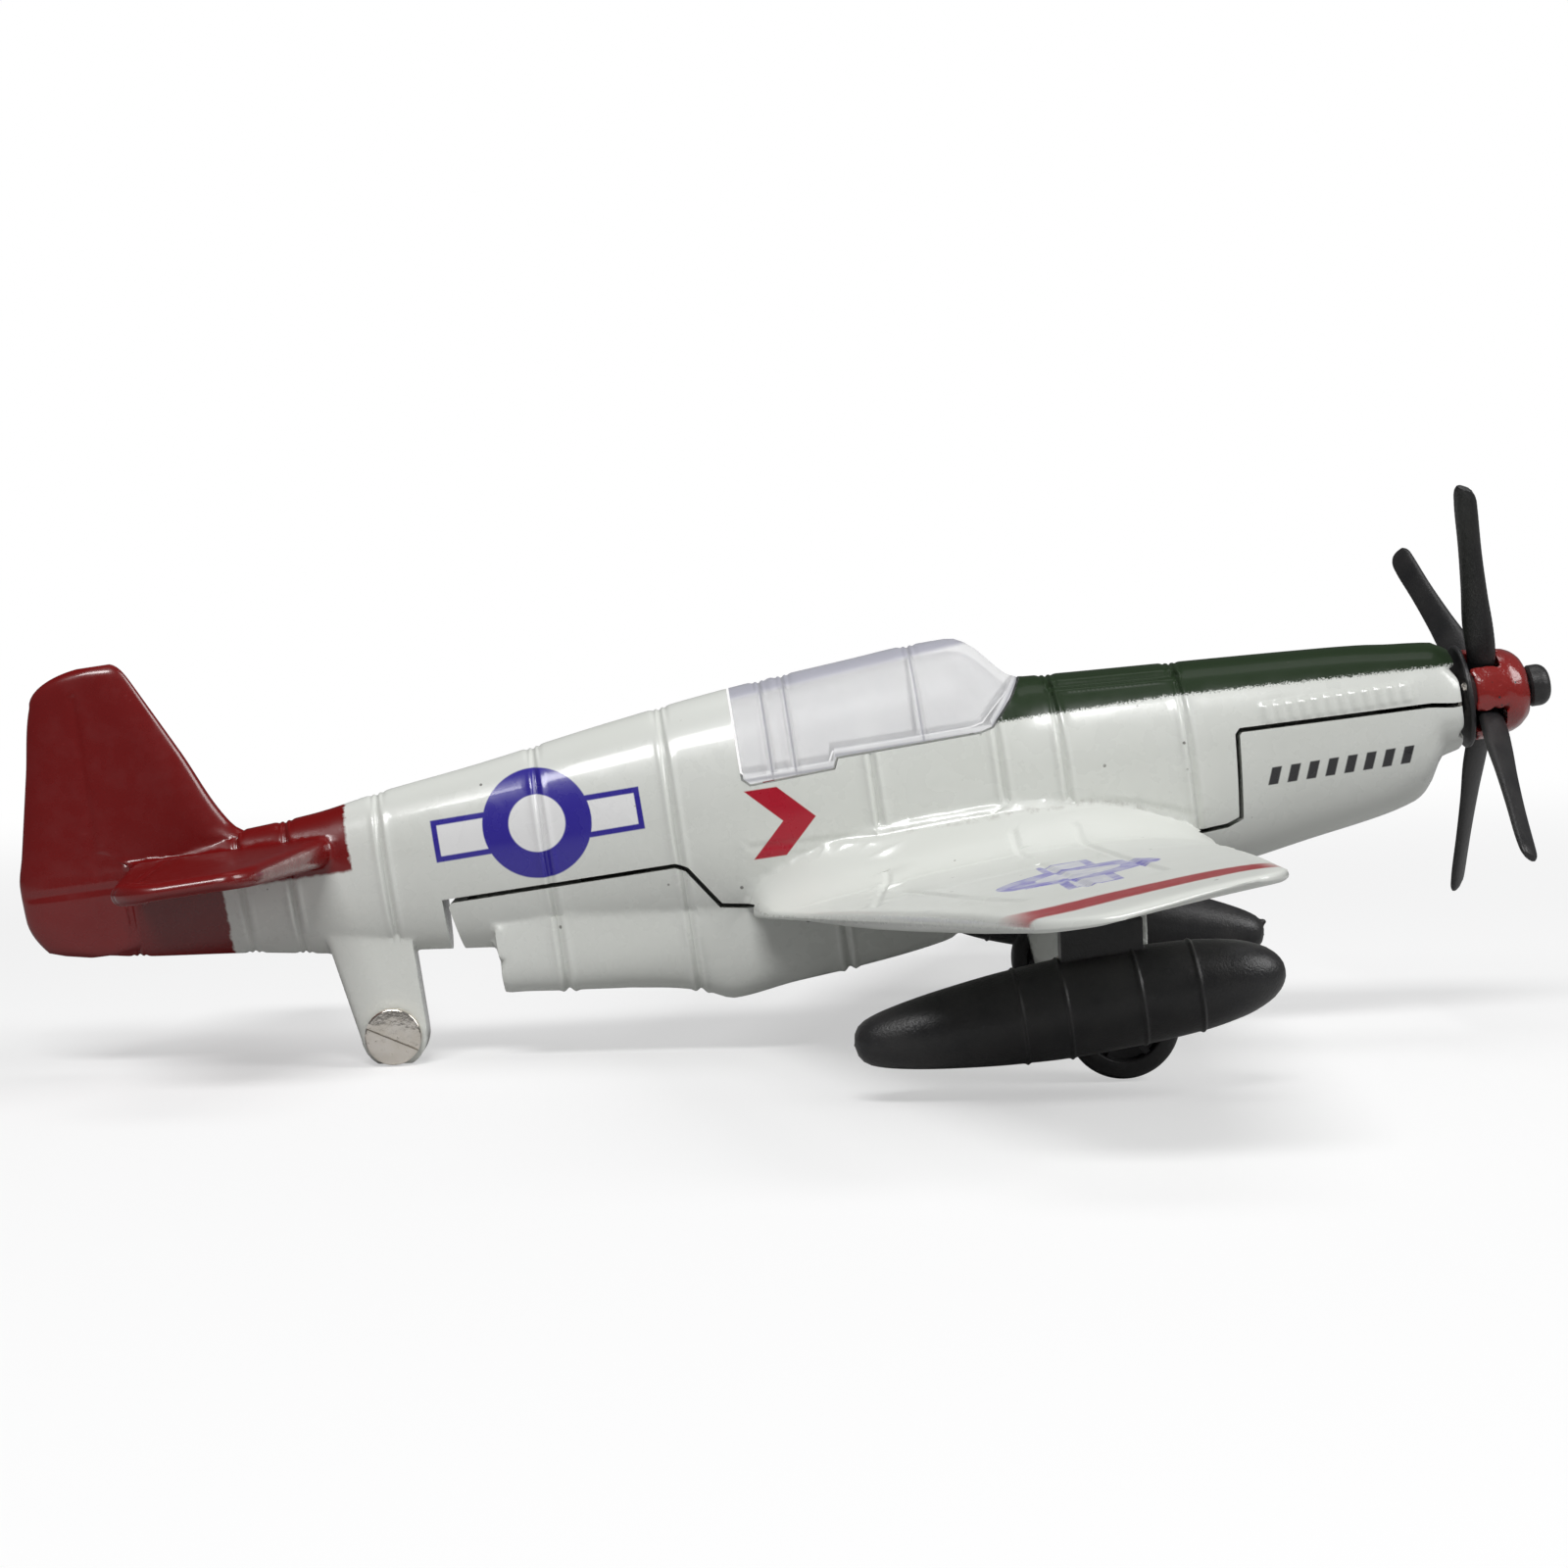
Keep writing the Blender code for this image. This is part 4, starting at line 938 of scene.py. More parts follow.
def upper_skin():
    """Fuselage, wing, fin, tailplane and tail lug as one softened skin, with its panel lines."""
    lug = round_ended_outline(TAIL_LUG["top"], TAIL_LUG["top_w"], TAIL_SCREW, TAIL_LUG["end_radius"], 24)
    half = TAIL_LUG["half_thickness"]
    plate = refine(*triangles_of(prism("lug", lug, -half, half)), everywhere, 0.6)
    body = fuselage("body", FUSELAGE[0][0], FUSELAGE[-1][0], lines=FRAME_LINES)
    forms = [wing_form(), tailplane_form(), fin_form(), mesh_of("lug", *plate)]
    points, faces = triangles_of(carve(body, [("UNION", form) for form in forms]))
    points, faces = soften(points, faces, **CASTING_EDGES, rounds=7, keep=at_joins)
    points, faces = refine(points, faces, near_details, length=0.3)
    normals = point_normals(points, faces)
    points = points + normals * casting_details(points)[:, None]
    return mesh_of("upper_skin", points, faces)


def upper_casting():
    """The upper skin less one cutter: hollows, seats, holes and the lower casting's space."""
    hollow = prism("glazing_space", offset_outline(CANOPY_SILL, SEAM), -CUT_REACH, CUT_REACH)
    steps = [("UNION", pin_bore())]
    for low, high, extra, limits in CAVITIES.values():
        steps.append(("UNION", fuselage("cavity", low, high, 48, 1.5, WALL + extra, **limits)))
    for name, (u, _, _) in BELLY_SCREWS.items():
        low = BELLY_STRIP["top"] + SEAM if "front" in name else -5.6
        steps.append(("DIFFERENCE", upright(SCREW["post"], u, 0.0, low, 4.4)))
    steps.append(("UNION", lower_space(SEAM)))
    for name in BELLY_SCREWS:
        steps += screw_cutters(name, "UNION", heads=False)
    u, w = TAIL_SCREW
    steps.append(("UNION", moved(rod("bore", TAIL_SCREW_SHANK + SLIP, -3.0, 3.0), (u, 0.0, w), ALONG_Y)))
    for side, sign in (("left", 1), ("right", -1)):
        faces = sorted((sign * (LEG["y"][0] - SLIP), sign * (LEG["y"][1] + SLIP)))
        steps.append(("UNION", prism("leg_slot", offset_outline(leg_outline(), SLIP), *faces)))
        peg = rod("peg_hole", PYLON["peg"] + SLIP, 0.0, PYLON["peg_top"] + SLIP)
        steps.append(("UNION", in_tank_axes(peg, side)))
    ground = block("ground", (-60.0, -10.0, -5.0), (0.0, 10.0, 0.0))
    ground.transform(AIRFRAME.inverted())
    steps.append(("UNION", ground))
    return carve(upper_skin(), [("DIFFERENCE", carve(hollow, steps))])


def off_scoop_lines(marks):
    return np.abs(marks[:, 0:1] - np.array(SCOOP_LINES)).min(axis=1) > LINE_GAP


def lower_casting():
    """The chin, the belly strip between the wing roots and the radiator scoop, cast as one."""
    body = fuselage("body", -70.0, FUSELAGE[-1][0], lines=SCOOP_LINES[1:])
    skin = carve(body, [("UNION", scoop_form(lines=SCOOP_LINES))])
    points, faces = soften(*triangles_of(skin), **CASTING_EDGES, rounds=6, keep=off_scoop_lines)
    steps = [("INTERSECT", lower_space(-SEAM, (*AFT_SEAM[:5], *SLOPED_END)))]
    steps.append(("DIFFERENCE", fuselage("cavity", *CAVITY_SPAN, 48, 1.5, WALL)))
    for back, front, foot, crest in RIBS:
        rib = block("rib", (back, -RIB_HALF_THICKNESS, foot), (front, RIB_HALF_THICKNESS, crest))
        steps.append(("UNION", rib))
    rear_u, rear_seat, _ = BELLY_SCREWS["rear_belly_screw"]
    steps.append(("UNION", upright(SCREW["post"], rear_u, 0.0, rear_seat - 0.4, -5.9)))
    low = (INTAKE["u"][0], -INTAKE["half_width"], INTAKE["w"][0])
    high = (INTAKE["u"][1], INTAKE["half_width"], INTAKE["w"][1])
    steps.append(("DIFFERENCE", block("intake", low, high)))
    steps.append(("DIFFERENCE", pin_bore()))
    for name in BELLY_SCREWS:
        steps += screw_cutters(name, "DIFFERENCE", heads=True)
    return carve(mesh_of("lower_skin", points, faces), steps)


def leg_outline():
    top = (WHEEL["u"] - LEG["half_top"], WHEEL["u"] + LEG["half_top"])
    return round_ended_outline(top, LEG["top_w"], (WHEEL["u"], WHEEL["w"]), LEG["end_radius"], 24)


def tank_axes(side):
    """The upright axes that a drop tank turns about, within the airframe's axes."""
    sign = 1 if side == "left" else -1
    foot = Vector((PEG_FOOT["u"], sign * PEG_FOOT["y"], PEG_FOOT["w"] + TANK_LIFT[side])) * MM
    level = about("Z", math.pi) @ about("Y", -PITCH) if side == "left" else about("Y", PITCH)
    return Matrix.Translation(foot) @ level


def in_tank_axes(mesh, side):
    mesh.transform(tank_axes(side))
    return mesh


def canopy():
    """The clear moulding over the cockpit, with its frame lines."""
    shell = fuselage("canopy", *CANOPY_SPAN, lines=CANOPY_FRAMES)
    hollow = fuselage("hollow", CANOPY_SPAN[0] - 1.0, CANOPY_SPAN[1] + 1.0, 64, 0.8, CANOPY_THICKNESS)
    sill, around = (prism("sill", CANOPY_SILL, -CUT_REACH, CUT_REACH) for _ in range(2))
    within_rim = prism("within_rim", offset_outline(CANOPY_SILL, -SILL_RIM), -CUT_REACH, CUT_REACH)
    proud = fuselage("rim", *CANOPY_SPAN, inset=-0.09)
    edge = carve(proud, [("INTERSECT", around), ("DIFFERENCE", within_rim)])
    return carve(shell, [("INTERSECT", sill), ("UNION", edge), ("DIFFERENCE", hollow)])


def blade(angle):
    """One twisted blade at an angle about the thrust line, from the upright towards port."""
    radial = np.array((0.0, math.sin(angle), math.cos(angle)))
    sideways = np.array((0.0, math.cos(angle), -math.sin(angle)))
    forward = np.array((1.0, 0.0, 0.0))
    rings = []
    stations = [*np.arange(BLADE[0][0], 15.6, 0.45), 15.8, 16.0, 16.15, 16.27, 16.35, 16.4]
    for radius in stations:
        chord, thickness, pitch, centre = interpolate(BLADE, radius)
        twist = math.radians(pitch)
        along = sideways * math.cos(twist) - forward * math.sin(twist)
        through = forward * math.cos(twist) + sideways * math.sin(twist)
        ring = []
        for i in range(BLADE_SIDES):
            a = 2 * math.pi * i / BLADE_SIDES
            flat = math.copysign(abs(math.sin(a)) ** 0.8, math.sin(a))
            ring.append(radial * radius + forward * centre + along * (chord / 2 * math.cos(a))
                        + through * (thickness / 2 * flat))
        rings.append(ring)
    return loft("blade", rings)


def blade_angles():
    return [math.pi * 2 * i / BLADE_COUNT - FIRST_BLADE for i in range(BLADE_COUNT)]


def propeller():
    """Backplate, hub drum and four blades, moulded as one."""
    plate, drum = BACKPLATE, HUB_DRUM
    profile = [
        (PIN_BORE, drum["end"]),
        (drum["radius"], drum["end"]),
        (drum["radius"], plate["u"][1]),
        *rim((plate["radius"] - 0.14, plate["u"][1] - 0.14), 0.14, 90, 0, 4),
        *rim((plate["radius"] - 0.14, plate["u"][0] + 0.14), 0.14, 0, -90, 4),
        (PIN_BORE, plate["u"][0]),
    ]
    hub = moved(lathe("hub", profile, 72, closed=True), turn=ALONG_U)
    body = carve(hub, [("UNION", blade(angle)) for angle in blade_angles()])
    points, faces = soften(*triangles_of(body), degrees=25.0, reach=0.3, length=0.16, rounds=4,
                           keep=lambda marks: outer(marks, 0.9))
    return carve(mesh_of("propeller", points, faces), [("DIFFERENCE", pin_bore(-3.0, 5.0))])


def outer(points, radius):
    """Which points lie farther than radius from the thrust line."""
    return np.hypot(points[:, 1], points[:, 2]) > radius


def spinner():
    """The red shell over the hub, notched at its back edge for the blade roots."""
    front = SPINNER_PROFILE[-1]
    back = SPINNER_PROFILE[0][1]
    inner = HUB_DRUM["radius"] + SLIP
    depth = HUB_DRUM["end"] + SLIP
    outside = [(radius, u) for radius, u in reversed(SPINNER_PROFILE)]
    fine = [outside[0]]
    for start, end in zip(outside, outside[1:]):
        fine += [tuple(np.add(np.multiply(start, 1 - t), np.multiply(end, t))) for t in (0.34, 0.67, 1.0)]
    profile = [(PIN_BORE, front[1]), *fine, (inner, back), (inner, depth), (PIN_BORE, depth)]
    shell = moved(lathe("spinner", profile, 84, closed=True), turn=ALONG_U)
    notches = []
    for angle in blade_angles():
        notch = block("notch", (0.0, -NOTCH_HALF_WIDTH, 1.0), (NOTCH_DEPTH, NOTCH_HALF_WIDTH, 5.0))
        notches.append(("DIFFERENCE", moved(notch, turn=about("X", -angle))))
    notched = carve(shell, notches)
    points, faces = soften(*triangles_of(notched), degrees=14.0, reach=0.3, length=0.16, rounds=6,
                           keep=lambda marks: outer(marks, 2.0) | (marks[:, 0] > 3.5))
    normals = point_normals(points, faces)
    u, y, w = points.T
    lumps = 0.035 * np.sin(y * 3.1 + 1.0) * np.sin(w * 2.7) * np.sin(u * 3.9 + 0.5)
    shown = outer(points, 1.5)
    return mesh_of("spinner", points + normals * (lumps * shown - 0.01)[:, None], faces)


def pin():
    """The fixed pin that the propeller turns on, with its domed head."""
    start, radius = PIN_HEAD["start"], PIN_HEAD["radius"]
    turn = 0.75
    corner = rim((radius - turn, NOSE_TIP_U - turn), turn, 90, 0, 10)
    dome = [(0.0, NOSE_TIP_U), *corner, (radius, start + 0.15)]
    end = PIN_TAIL_U + 0.2
    profile = [*dome, (radius - 0.12, start), (PIN_RADIUS, start), (PIN_RADIUS, end), (0.0, end)]
    return moved(lathe("pin", profile, 48), turn=ALONG_U)


def tail_screw():
    """The slotted screw through the tail lug."""
    u, w = TAIL_SCREW
    head, half = TAIL_SCREW_HEAD, TAIL_LUG["half_thickness"] + SLIP
    top = half + head["thickness"]
    edge = rim((head["radius"] - 0.14, top - 0.14), 0.14, 90, 0, 5)
    face = [(0.0, top), *edge, (head["radius"], half + 0.05), (head["radius"] - 0.05, half)]
    shank = [(TAIL_SCREW_SHANK, half), (TAIL_SCREW_SHANK, -half - 0.8), (0.0, -half - 0.8)]
    screw = lathe("screw", [*face, *shank], 72)
    slot_half, slot_depth = TAIL_SLOT["half_width"], TAIL_SLOT["depth"]
    slot = block("slot", (-3.0, -slot_half, top - slot_depth), (3.0, slot_half, top + 1.0))
    cut = carve(screw, [("DIFFERENCE", moved(slot, turn=about("Z", -TAIL_SLOT["turn"])))])
    return moved(cut, (u, 0.0, w), about("X", math.pi / 2))


def gear_leg(sign):
    """The plate leg, its corners rounded as cast."""
    faces = sorted((sign * LEG["y"][0], sign * LEG["y"][1]))
    plate = prism("leg", leg_outline(), *faces)
    points, faces = triangles_of(plate)
    points, faces = refine(points, faces, everywhere, 0.9)
    points, faces = soften(points, faces, degrees=40.0, reach=0.22, length=0.14, rounds=4)
    bore = moved(rod("bore", AXLE_RADIUS + 0.04, -20.0, 20.0), (WHEEL["u"], 0.0, WHEEL["w"]), ALONG_Y)
    return carve(mesh_of("leg", points, faces), [("DIFFERENCE", bore)])


def wheel(sign):
    """A moulded tyre and hub, with raised spokes on both faces."""
    radius, half = WHEEL["radius"], WHEEL["half_width"]
    hub = [(AXLE_BORE, half - 0.2), (1.15, half - 0.2), (1.25, half - 0.62), (2.2, half - 0.62)]
    shoulder = 0.75
    tyre = rim((2.45, half - 0.12), 0.12, 180, 90, 3)
    tyre += rim((radius - shoulder, half - shoulder), shoulder, 78, 12, 7)
    grooves = [(radius, 0.36), (radius - 0.12, 0.3), (radius - 0.12, 0.2), (radius, 0.14)]
    front = hub + tyre + grooves
    back = [(r, -h) for r, h in reversed(front)]
    body = lathe("wheel", front + back, 88, closed=True)
    spokes = []
    for i in range(WHEEL_SPOKES):
        for face in (1, -1):
            low, high = sorted((face * (half - 0.75), face * (half - 0.25)))
            spoke = block("spoke", (0.9, -0.2, low), (2.32, 0.2, high))
            spokes.append(("UNION", moved(spoke, turn=about("Z", 2 * math.pi * i / WHEEL_SPOKES))))
    made = carve(body, spokes)
    return moved(made, (WHEEL["u"], sign * WHEEL["y"], WHEEL["w"]), about("X", -sign * math.pi / 2))


def axle_pin(sign):
    """The pin through the leg, with its riveted head."""
    start = WHEEL["half_width"] + SLIP
    inboard = -(WHEEL["y"] - LEG["y"][0]) + 0.1
    rivet = ((0.0, 0.45), (0.4, 0.44), (0.7, 0.38), (0.88, 0.25), (0.95, 0.1))
    head = [(radius, start + height) for radius, height in rivet]
    shank = [(rivet[-1][0], start), (AXLE_RADIUS, start), (AXLE_RADIUS, inboard), (0.0, inboard)]
    made = lathe("axle", head + shank, 40)
    return moved(made, (WHEEL["u"], sign * WHEEL["y"], WHEEL["w"]), about("X", -sign * math.pi / 2))


def drop_tank(side):
    """A drop tank with its moulded bands and pylon, and the peg that holds it in the wing."""
    stations = sorted({*np.arange(0.5, 25.1, 0.4), 0.08, 0.2, 0.35, 25.15, 25.25,
                       *(band + offset for band in TANK_BANDS for offset in BAND_STATIONS)})
    profile = [(0.0, 0.0)]
    for distance in stations:
        radius, = interpolate(TANK_PROFILE, distance)
        radius = math.sqrt(distance * 2.6) if distance < 0.35 else radius
        for_bands = [math.exp(-(((distance - band) / BAND_HALF_WIDTH) ** 4)) for band in TANK_BANDS]
        radius += sum(BAND_HEIGHT * share for share in for_bands)
        profile.append((radius, -distance))
    profile.append((0.0, -TANK_PROFILE[-1][0]))
    nose_x, nose_z = TANK["nose"]
    body = moved(lathe("tank", profile, 80), (nose_x, 0.0, nose_z), about("Y", math.pi / 2 - TANK["tilt"]))
    low = (PYLON["x"][0], -PYLON["half_width"], PYLON["foot"])
    high = (PYLON["x"][1], PYLON["half_width"], PYLON["top"])
    pylon = mesh_of("pylon", *refine(*triangles_of(block("pylon", low, high)), everywhere, 0.45))
    parts = [pylon]
    if side == "left":
        pip = lathe("pip", [(0.0, 0.5), (0.16, 0.46), (0.24, 0.1), (0.24, -0.6), (0.0, -0.6)], 20)
        parts.append(moved(pip, PIP_AT, about("Y", PIP_TURN)))
    joined = carve(body, [("UNION", part) for part in parts])
    points, faces = soften(*triangles_of(joined), degrees=40.0, reach=0.3, length=0.17, rounds=4)
    peg = rod("peg", PYLON["peg"], PYLON["top"] - 1.0, PYLON["peg_top"])
    return in_tank_axes(carve(mesh_of("tank", points, faces), [("UNION", peg)]), side)


# Materials: node graphs written as sums on a piece's own coordinates


class Field:
    """A number or vector that varies over a surface, as the output of a node."""

    def __init__(self, graph, socket):
        self.graph = graph
        self.socket = socket

    def math(self, operation, *others, clamp=False):
        node = self.graph.nodes.new("ShaderNodeMath")
        node.operation = operation
        node.use_clamp = clamp
        for i, value in enumerate((self, *others)):
            feed(self.graph, node.inputs[i], value)
        return Field(self.graph, node.outputs[0])

    def __add__(self, other):
        return self.math("ADD", other)

    def __sub__(self, other):
        return self.math("SUBTRACT", other)

    def __mul__(self, other):
        return self.math("MULTIPLY", other)

    def __rsub__(self, other):
        return -self + other

    def __neg__(self):
        return self.math("MULTIPLY", -1.0)

    def __or__(self, other):
        return self.math("MAXIMUM", other)

    def __and__(self, other):
        return self.math("MINIMUM", other)

    __radd__ = __add__
    __rmul__ = __mul__

    def abs(self):
        return self.math("ABSOLUTE")

    def sqrt(self):
        return self.math("SQRT")

    def rise(self, low, high):
        """0 below low, 1 above high, and smooth between them."""
        node = self.graph.nodes.new("ShaderNodeMapRange")
        node.interpolation_type = "SMOOTHSTEP"
        feed(self.graph, node.inputs["Value"], self)
        feed(self.graph, node.inputs["From Min"], low)
        feed(self.graph, node.inputs["From Max"], high)
        return Field(self.graph, node.outputs["Result"])


def feed(graph, socket, value):
    if isinstance(value, Field):
        graph.links.new(value.socket, socket)
    else:
        socket.default_value = value


class Paint:
    """A material under construction, with the object's coordinates in millimetres."""

    def __init__(self, name, **constants):
        self.material = bpy.data.materials.new(name)
        self.material.use_nodes = True
        self.graph = self.material.node_tree
        self.shader = self.graph.nodes["Principled BSDF"]
        for socket, value in constants.items():
            self.shader.inputs[socket.replace("_", " ")].default_value = value
        place = self.graph.nodes.new("ShaderNodeTexCoord")
        level = self.graph.nodes.new("ShaderNodeVectorRotate")
        level.rotation_type = "Y_AXIS"
        level.inputs["Center"].default_value = HUB
        level.inputs["Angle"].default_value = PITCH
        self.graph.links.new(place.outputs["Object"], level.inputs["Vector"])
        scale = self.graph.nodes.new("ShaderNodeMapping")
        scale.inputs["Location"].default_value = -HUB / MM
        scale.inputs["Scale"].default_value = (1 / MM, 1 / MM, 1 / MM)
        self.graph.links.new(level.outputs[0], scale.inputs["Vector"])
        self.point = Field(self.graph, scale.outputs[0])
        split = self.graph.nodes.new("ShaderNodeSeparateXYZ")
        feed(self.graph, split.inputs[0], self.point)
        self.u, self.y, self.w = (Field(self.graph, output) for output in split.outputs)

    def noise(self, scale, detail=2.0, roughness=0.5, output="Fac", at=None):
        node = self.graph.nodes.new("ShaderNodeTexNoise")
        feed(self.graph, node.inputs["Vector"], at or self.point)
        node.inputs["Scale"].default_value = scale
        node.inputs["Detail"].default_value = detail
        node.inputs["Roughness"].default_value = roughness
        return Field(self.graph, node.outputs[output])

    def cells(self, scale):
        """The distance from scattered points, in cells."""
        node = self.graph.nodes.new("ShaderNodeTexVoronoi")
        feed(self.graph, node.inputs["Vector"], self.point)
        node.inputs["Scale"].default_value = scale
        return Field(self.graph, node.outputs["Distance"])

    def mix(self, below, above, mask):
        """One colour over another, where the mask is 1."""
        node = self.graph.nodes.new("ShaderNodeMix")
        node.data_type = "RGBA"
        feed(self.graph, node.inputs["Factor"], mask)
        for socket, value in ((node.inputs[6], below), (node.inputs[7], above)):
            feed(self.graph, socket, value if isinstance(value, Field) else (*value, 1.0))
        return Field(self.graph, node.outputs[2])

    def bump(self, height, distance, strength=1.0):
        """Small relief: a height from 0 to 1 that stands for a distance in millimetres."""
        node = self.graph.nodes.new("ShaderNodeBump")
        feed(self.graph, node.inputs["Strength"], strength)
        node.inputs["Distance"].default_value = distance * MM
        feed(self.graph, node.inputs["Height"], height)
        self.graph.links.new(node.outputs["Normal"], self.shader.inputs["Normal"])

    def set(self, **fields):
        for socket, value in fields.items():
            feed(self.graph, self.shader.inputs[socket.replace("_", " ")], value)
        return self.material


def turned_pair(a, b, centre, degrees):
    """Two coordinates about a centre, turned by an angle."""
    cos, sin = math.cos(math.radians(degrees)), math.sin(math.radians(degrees))
    a, b = a - centre[0], b - centre[1]
    return a * cos + b * sin, b * cos - a * sin


def within(value, low, high, soft=0.05):
    """1 between two limits, with soft edges."""
    return value.rise(low - soft, low + soft) * (-value).rise(-high - soft, -high + soft)


def bars_and_disc(a, b, disc, bar, border):
    """Masks of a plain roundel with side bars: the blue parts, and the white parts over them."""
    radius = (a * a + b * b).sqrt()
    blue_disc = within(radius, -1.0, disc)
    white_disc = within(radius, -1.0, disc * 0.52)
    half, low, high = bar
    blue_bar = within(a, -half, half) * within(b, low, high)
    white_bar = within(a, -half + border, half - border) * within(b, low + border, high - border)
    clear_of_disc = radius.rise(disc - 0.05, disc + 0.05)
    return blue_disc | blue_bar, (white_bar * clear_of_disc) | white_disc


WHITE = (0.70, 0.715, 0.68)
RED = (0.16, 0.004, 0.004)
GREEN = (0.018, 0.034, 0.014)
BLUE = (0.030, 0.020, 0.290)
MARK_RED = (0.40, 0.006, 0.022)
STRIPE_RED = (0.34, 0.002, 0.012)
MARK_WHITE = (0.80, 0.80, 0.80)
INK = (0.020, 0.020, 0.022)
DIRT = (0.10, 0.09, 0.08)
# Grey of the painted shade in the crease along the top of the wing fillet
FILLET_SHADE = (0.42, 0.41, 0.38)
WORN_RED = (0.36, 0.08, 0.08)
RUBBED_BLUE = (0.16, 0.14, 0.50)

# Markings. Bars are given as half length, lower edge and upper edge.
ROUNDEL = {"centre": (-60.2, 1.15), "turn": 1.0, "radius": 3.5, "bar": (6.75, -1.45, 1.25), "border": 0.36}
CHEVRON = {"tip": -42.6, "middle": -1.0, "half": 2.2, "sweep": 1.0, "width": 2.1}
NOSE_BARS = {"u": (-13.9, -4.0), "w": (-3.5, -2.4), "count": 8}
WING_ROUNDEL = {"centre": (33.0, -29.4), "radius": 4.6, "bar": (9.5, -1.5, 1.5)}
TIP_STRIPE = {"y": 50.9, "half": 2.1}
# Distances aft of the hub over which the paint turns red, above the stern and at its end, and over
# which the green of the nose stops
RED_TOP_FROM = (72.35, 72.55)
RED_END_FROM = (80.75, 80.95)
GREEN_TO = (30.3, 30.6)


def facing_up(paint):
    """The upward part of the surface's direction, from -1 to 1."""
    geometry = paint.graph.nodes.new("ShaderNodeNewGeometry")
    parts = paint.graph.nodes.new("ShaderNodeSeparateXYZ")
    paint.graph.links.new(geometry.outputs["Normal"], parts.inputs[0])
    return Field(paint.graph, parts.outputs["Z"])


def casting_paint():
    """The painted castings: off-white, with the red tail, the green nose top and the markings."""
    paint = Paint("white_paint_look", Coat_Roughness=0.08, Coat_IOR=1.5)
    u, w, side = paint.u, paint.w, paint.y.abs()
    ragged = (paint.noise(2.2, 3.0) - 0.5) * 0.5
    grain = (paint.noise(9.0, 2.0, 0.7) - 0.5) * 1.5
    tone = paint.noise(0.12, 2.0) - 0.5
    color = paint.mix((0.68, 0.695, 0.655), WHITE, (tone + 0.5).rise(0.3, 0.7))

    edge = u + ragged
    red_top = (-edge).rise(*RED_TOP_FROM) * (w + ragged * 0.4).rise(-0.25, 0.0)
    red = red_top | (-edge).rise(*RED_END_FROM)
    worn = paint.noise(1.3, 4.0, 0.7).rise(0.66, 0.72) * paint.noise(7.0, 2.0).rise(0.5, 0.6) * 0.25
    color = paint.mix(color, RED, red)
    color = paint.mix(color, WORN_RED, red * worn)

    lower = (u * -0.045 + 2.23).math("MINIMUM", 3.1) + grain * 0.5 + ragged * 0.3
    green = (w - lower).rise(-0.12, 0.10) * u.rise(-GREEN_TO[1], -GREEN_TO[0]) * (-side).rise(-5.2, -5.0)
    color = paint.mix(color, GREEN, green)

    color = side_markings(paint, color)
    color = wing_markings(paint, color)

    # Painted shade: a patchy grey darkening along the crease at the top of the wing fillet, on both sides
    # of the body
    fold = (w - (-2.7 - (u + 26.0).rise(0.0, 8.0) * 1.8)).abs()
    along_fold = (-fold).rise(-0.35, -0.05) * within(u, -39.0, -18.0, 1.0)
    fillet_shade = along_fold * side.rise(3.4, 3.7) * (-side).rise(-5.6, -5.3)
    patchy = paint.noise(1.6, 4.0, 0.7).rise(0.46, 0.66)
    color = paint.mix(color, FILLET_SHADE, fillet_shade * patchy * 0.55)
    specks = (-paint.cells(0.55)).rise(-0.075, -0.055) * paint.noise(0.5, 2.0).rise(0.52, 0.6)
    color = paint.mix(color, DIRT, specks * (red.math("SUBTRACT", 1.0).abs()) * 0.8)

    peel = paint.noise(0.5, 1.0, 0.4)
    fine = paint.noise(3.0, 2.0, 0.5)
    level = facing_up(paint).abs().rise(0.35, 0.85)
    paint.bump(peel * 0.9 + fine * 0.1, 0.035, strength=1.0 - level)
    patches = paint.noise(0.8, 3.0).rise(0.35, 0.75)
    rough = patches * (1.0 - level * 0.7) * 0.12 + level * 0.1 + 0.24
    # Level surfaces are dustier, so they shine less
    shine = 1.0 - level * 0.85
    paint.set(Specular_IOR_Level=shine * 0.5, Coat_Weight=shine * 0.45)
    return paint.set(Base_Color=color, Roughness=rough)


def side_markings(paint, color):
    """Roundel and bars, the chevron below the cockpit and the row of bars on the nose."""
    u, w = paint.u, paint.w
    on_side = paint.y.abs().rise(1.6, 1.8)
    body = on_side * (-paint.y.abs()).rise(-5.4, -5.3)
    a, b = turned_pair(u, w, ROUNDEL["centre"], ROUNDEL["turn"])
    blue, white = bars_and_disc(a, b, ROUNDEL["radius"], ROUNDEL["bar"], ROUNDEL["border"])
    color = paint.mix(color, BLUE, blue * body)
    color = paint.mix(color, MARK_WHITE, white * body)

    tip, middle, half = CHEVRON["tip"], CHEVRON["middle"], CHEVRON["half"]
    behind = (u - tip) + (w - middle).abs() * CHEVRON["sweep"]
    chevron = within(behind, -CHEVRON["width"], 0.0) * within(w, middle - half, middle + half)
    color = paint.mix(color, MARK_RED, chevron * body)

    (left, right), (low, high) = NOSE_BARS["u"], NOSE_BARS["w"]
    pitch = (right - left) / NOSE_BARS["count"]
    slid = (u - left) - (w - low) * 0.35
    phase = (slid * (1.0 / pitch)).math("FRACT")
    bars = within(phase, 0.1, 0.62, 0.04) * within(u, left, right, 0.03) * within(w, low, high, 0.04)
    return paint.mix(color, INK, bars * body)


